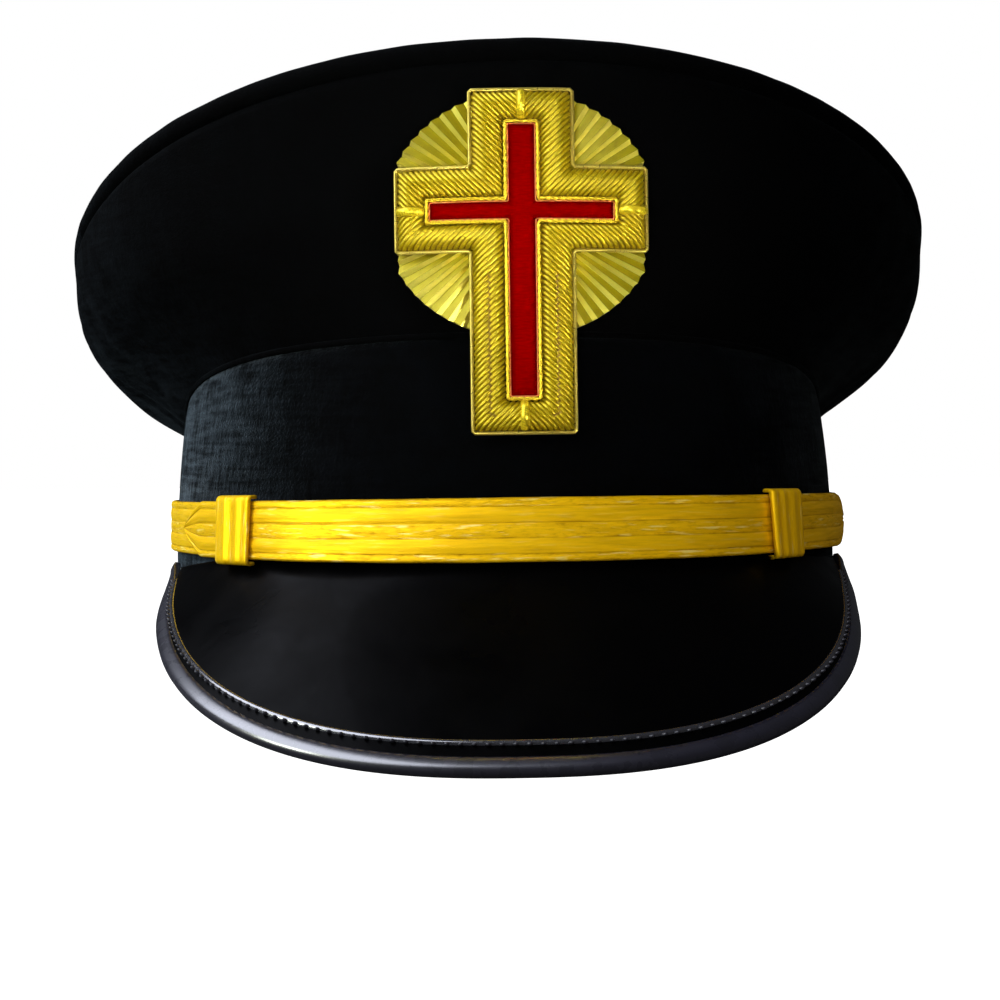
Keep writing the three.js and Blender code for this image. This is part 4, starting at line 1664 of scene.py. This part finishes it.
barEnds = {
    "Top": ((0, frameOuter["top"]), (0, frameInner["top"])),
    "Foot": ((0, frameOuter["foot"]), (0, frameInner["foot"])),
    "Left": ((-frameOuter["arm"], 0), (-frameInner["arm"], 0)),
    "Right": ((frameOuter["arm"], 0), (frameInner["arm"], 0)),
}
for name, (start, end) in barEnds.items():
    path = []
    for share in steps(10, 0.1, 0.92):
        u = start[0] + (end[0] - start[0]) * share
        v = start[1] + (end[1] - start[1]) * share
        ends = 0.35 * (abs(share - 0.51) / 0.41) ** 4
        path.append(onBadge(u, v, badge["base"] + blendAt(badge["profile"], share) + 0.62 - ends))
    bar = threads("badgeBar" + name, [(path, False)], badge["barRadius"], barGold, sides=12)
    dress(bar, None, ["badge_bar_" + name.lower()])

# The felt behind the shaft keeps its plain solid and takes its own cloth.
for piece in bpy.data.objects:
    if piece.type == "MESH" and piece.name == "badge_backing":
        for slotOfPiece in piece.material_slots:
            slotOfPiece.material = backingFelt
print("badge ready")

# Room, lights and camera.

studio = {
    "floorColour": (0.03, 0.03, 0.03, 1),
    "floorGlow": 1.3,
    "floorBounce": 0.0,
    "worldSeen": 1.0,
    "worldLight": 0.03,
}

floorMesh = bpy.data.meshes.new("floor")
floorMesh.from_pydata([(-6, -6, 0), (6, -6, 0), (6, 6, 0), (-6, 6, 0)], [], [[0, 1, 2, 3]])
floor = addObject("floor", floorMesh)
floorPaint, floorTree, floorShader = newMaterial("floorPaint", **{
    "Base Color": studio["floorColour"], "Roughness": 0.9, "Specular IOR Level": 0.1,
    "Emission Color": (1, 1, 1, 1),
})
floorRays = addNode(floorTree, "ShaderNodeLightPath")
feed(floorTree, floorShader, {
    "Emission Strength": remap(
        floorTree, floorRays.outputs["Is Camera Ray"], 0.0, 1.0, studio["floorBounce"],
        studio["floorGlow"],
    ),
})
floorMesh.materials.append(floorPaint)

world = bpy.data.worlds.new("studio")
bpy.context.scene.world = world
world.use_nodes = True
worldTree = world.node_tree
worldTree.nodes.clear()
seen = addNode(worldTree, "ShaderNodeBackground", {
    "Color": (1, 1, 1, 1), "Strength": studio["worldSeen"],
})
lit = addNode(worldTree, "ShaderNodeBackground", {
    "Color": (0.9, 0.95, 1, 1), "Strength": studio["worldLight"],
})
rays = addNode(worldTree, "ShaderNodeLightPath")
either = addNode(worldTree, "ShaderNodeMixShader", {
    0: rays.outputs["Is Camera Ray"], 1: lit.outputs[0], 2: seen.outputs[0],
})
addNode(worldTree, "ShaderNodeOutputWorld", {0: either.outputs[0]})


def areaLight(name, place, aim, size, watts, colour, spread=180, mirrored=True):
    # mirrored is False for a lamp that shouldn't show in glossy pieces.
    lamp = bpy.data.lights.new(name, "AREA")
    lamp.shape = "RECTANGLE"
    lamp.size, lamp.size_y = size
    lamp.energy = watts
    lamp.color = colour
    lamp.spread = math.radians(spread)
    holder = addObject(name, lamp)
    holder.location = place
    holder.rotation_euler = (Vector(aim) - Vector(place)).to_track_quat("-Z", "Y").to_euler()
    holder.visible_glossy = mirrored


areaLight("leftWindow", (-0.7, -0.28, 0.92), (0, -0.08, 0.03), (1.6, 1.0), 18, (0.83, 0.87, 1))
areaLight(
    "leftBehind", (-0.8, 0.6, 0.22), (-0.06, 0, 0.06), (0.4, 0.4), 16, (0.75, 0.9, 1),
    mirrored=False,
)
areaLight("keyLeft", (-0.92, -0.5, 0.3), (0, -0.05, 0.05), (0.35, 0.35), 5.2, (0.94, 1, 0.9))
areaLight(
    "fillRight", (0.76, -0.42, 0.2), (0.05, -0.05, 0.03), (0.3, 0.3), 0.85, (1, 0.85, 0.65),
    mirrored=False,
)
areaLight(
    "fillFront", (0.2, -1.0, 0.3), (0, -0.08, 0.03), (0.4, 0.4), 2.6, (1, 0.94, 0.85),
    mirrored=False,
)
# Two small lamps low in front, for the folds and ribs of the badge.
for name, place, watts in (
    ("badgeLampRight", (0.218, -0.303, 0.006), 0.04), ("badgeLampLeft", (-0.05, -0.4, 0.006), 0.03),
):
    areaLight(name, place, (0, -0.12, 0.09), (0.08, 0.08), watts, (1, 0.98, 0.9), 24)

camera = {
    "distance": 0.52,
    "azimuth": math.radians(-1.5),
    "elevation": math.radians(1),
    "roll": math.radians(-0.7),
    "target": (-0.00085, 0.006159, 0.051427),
    "focalPixels": 1926.6,
    "picturePixels": 1000,
    "sensor": 36,
}
viewData = bpy.data.cameras.new("photoCamera")
viewData.sensor_width = camera["sensor"]
viewData.lens = camera["focalPixels"] / camera["picturePixels"] * camera["sensor"]
viewData.clip_start = 0.02
viewData.clip_end = 50
viewer = addObject("photoCamera", viewData)
forward = Vector((
    math.sin(-camera["azimuth"]) * math.cos(camera["elevation"]),
    math.cos(camera["azimuth"]) * math.cos(camera["elevation"]),
    -math.sin(camera["elevation"]),
))
across = forward.cross(Vector((0, 0, 1))).normalized()
upward = across.cross(forward)
rolled = across * math.cos(camera["roll"]) + upward * math.sin(camera["roll"])
raised = upward * math.cos(camera["roll"]) - across * math.sin(camera["roll"])
turned = Matrix((rolled, raised, -forward)).transposed().to_4x4()
viewer.matrix_world = (
    Matrix.Translation(Vector(camera["target"]) - forward * camera["distance"]) @ turned
)
bpy.context.scene.camera = viewer
bpy.context.scene.view_settings.view_transform = "Standard"
print("room ready")
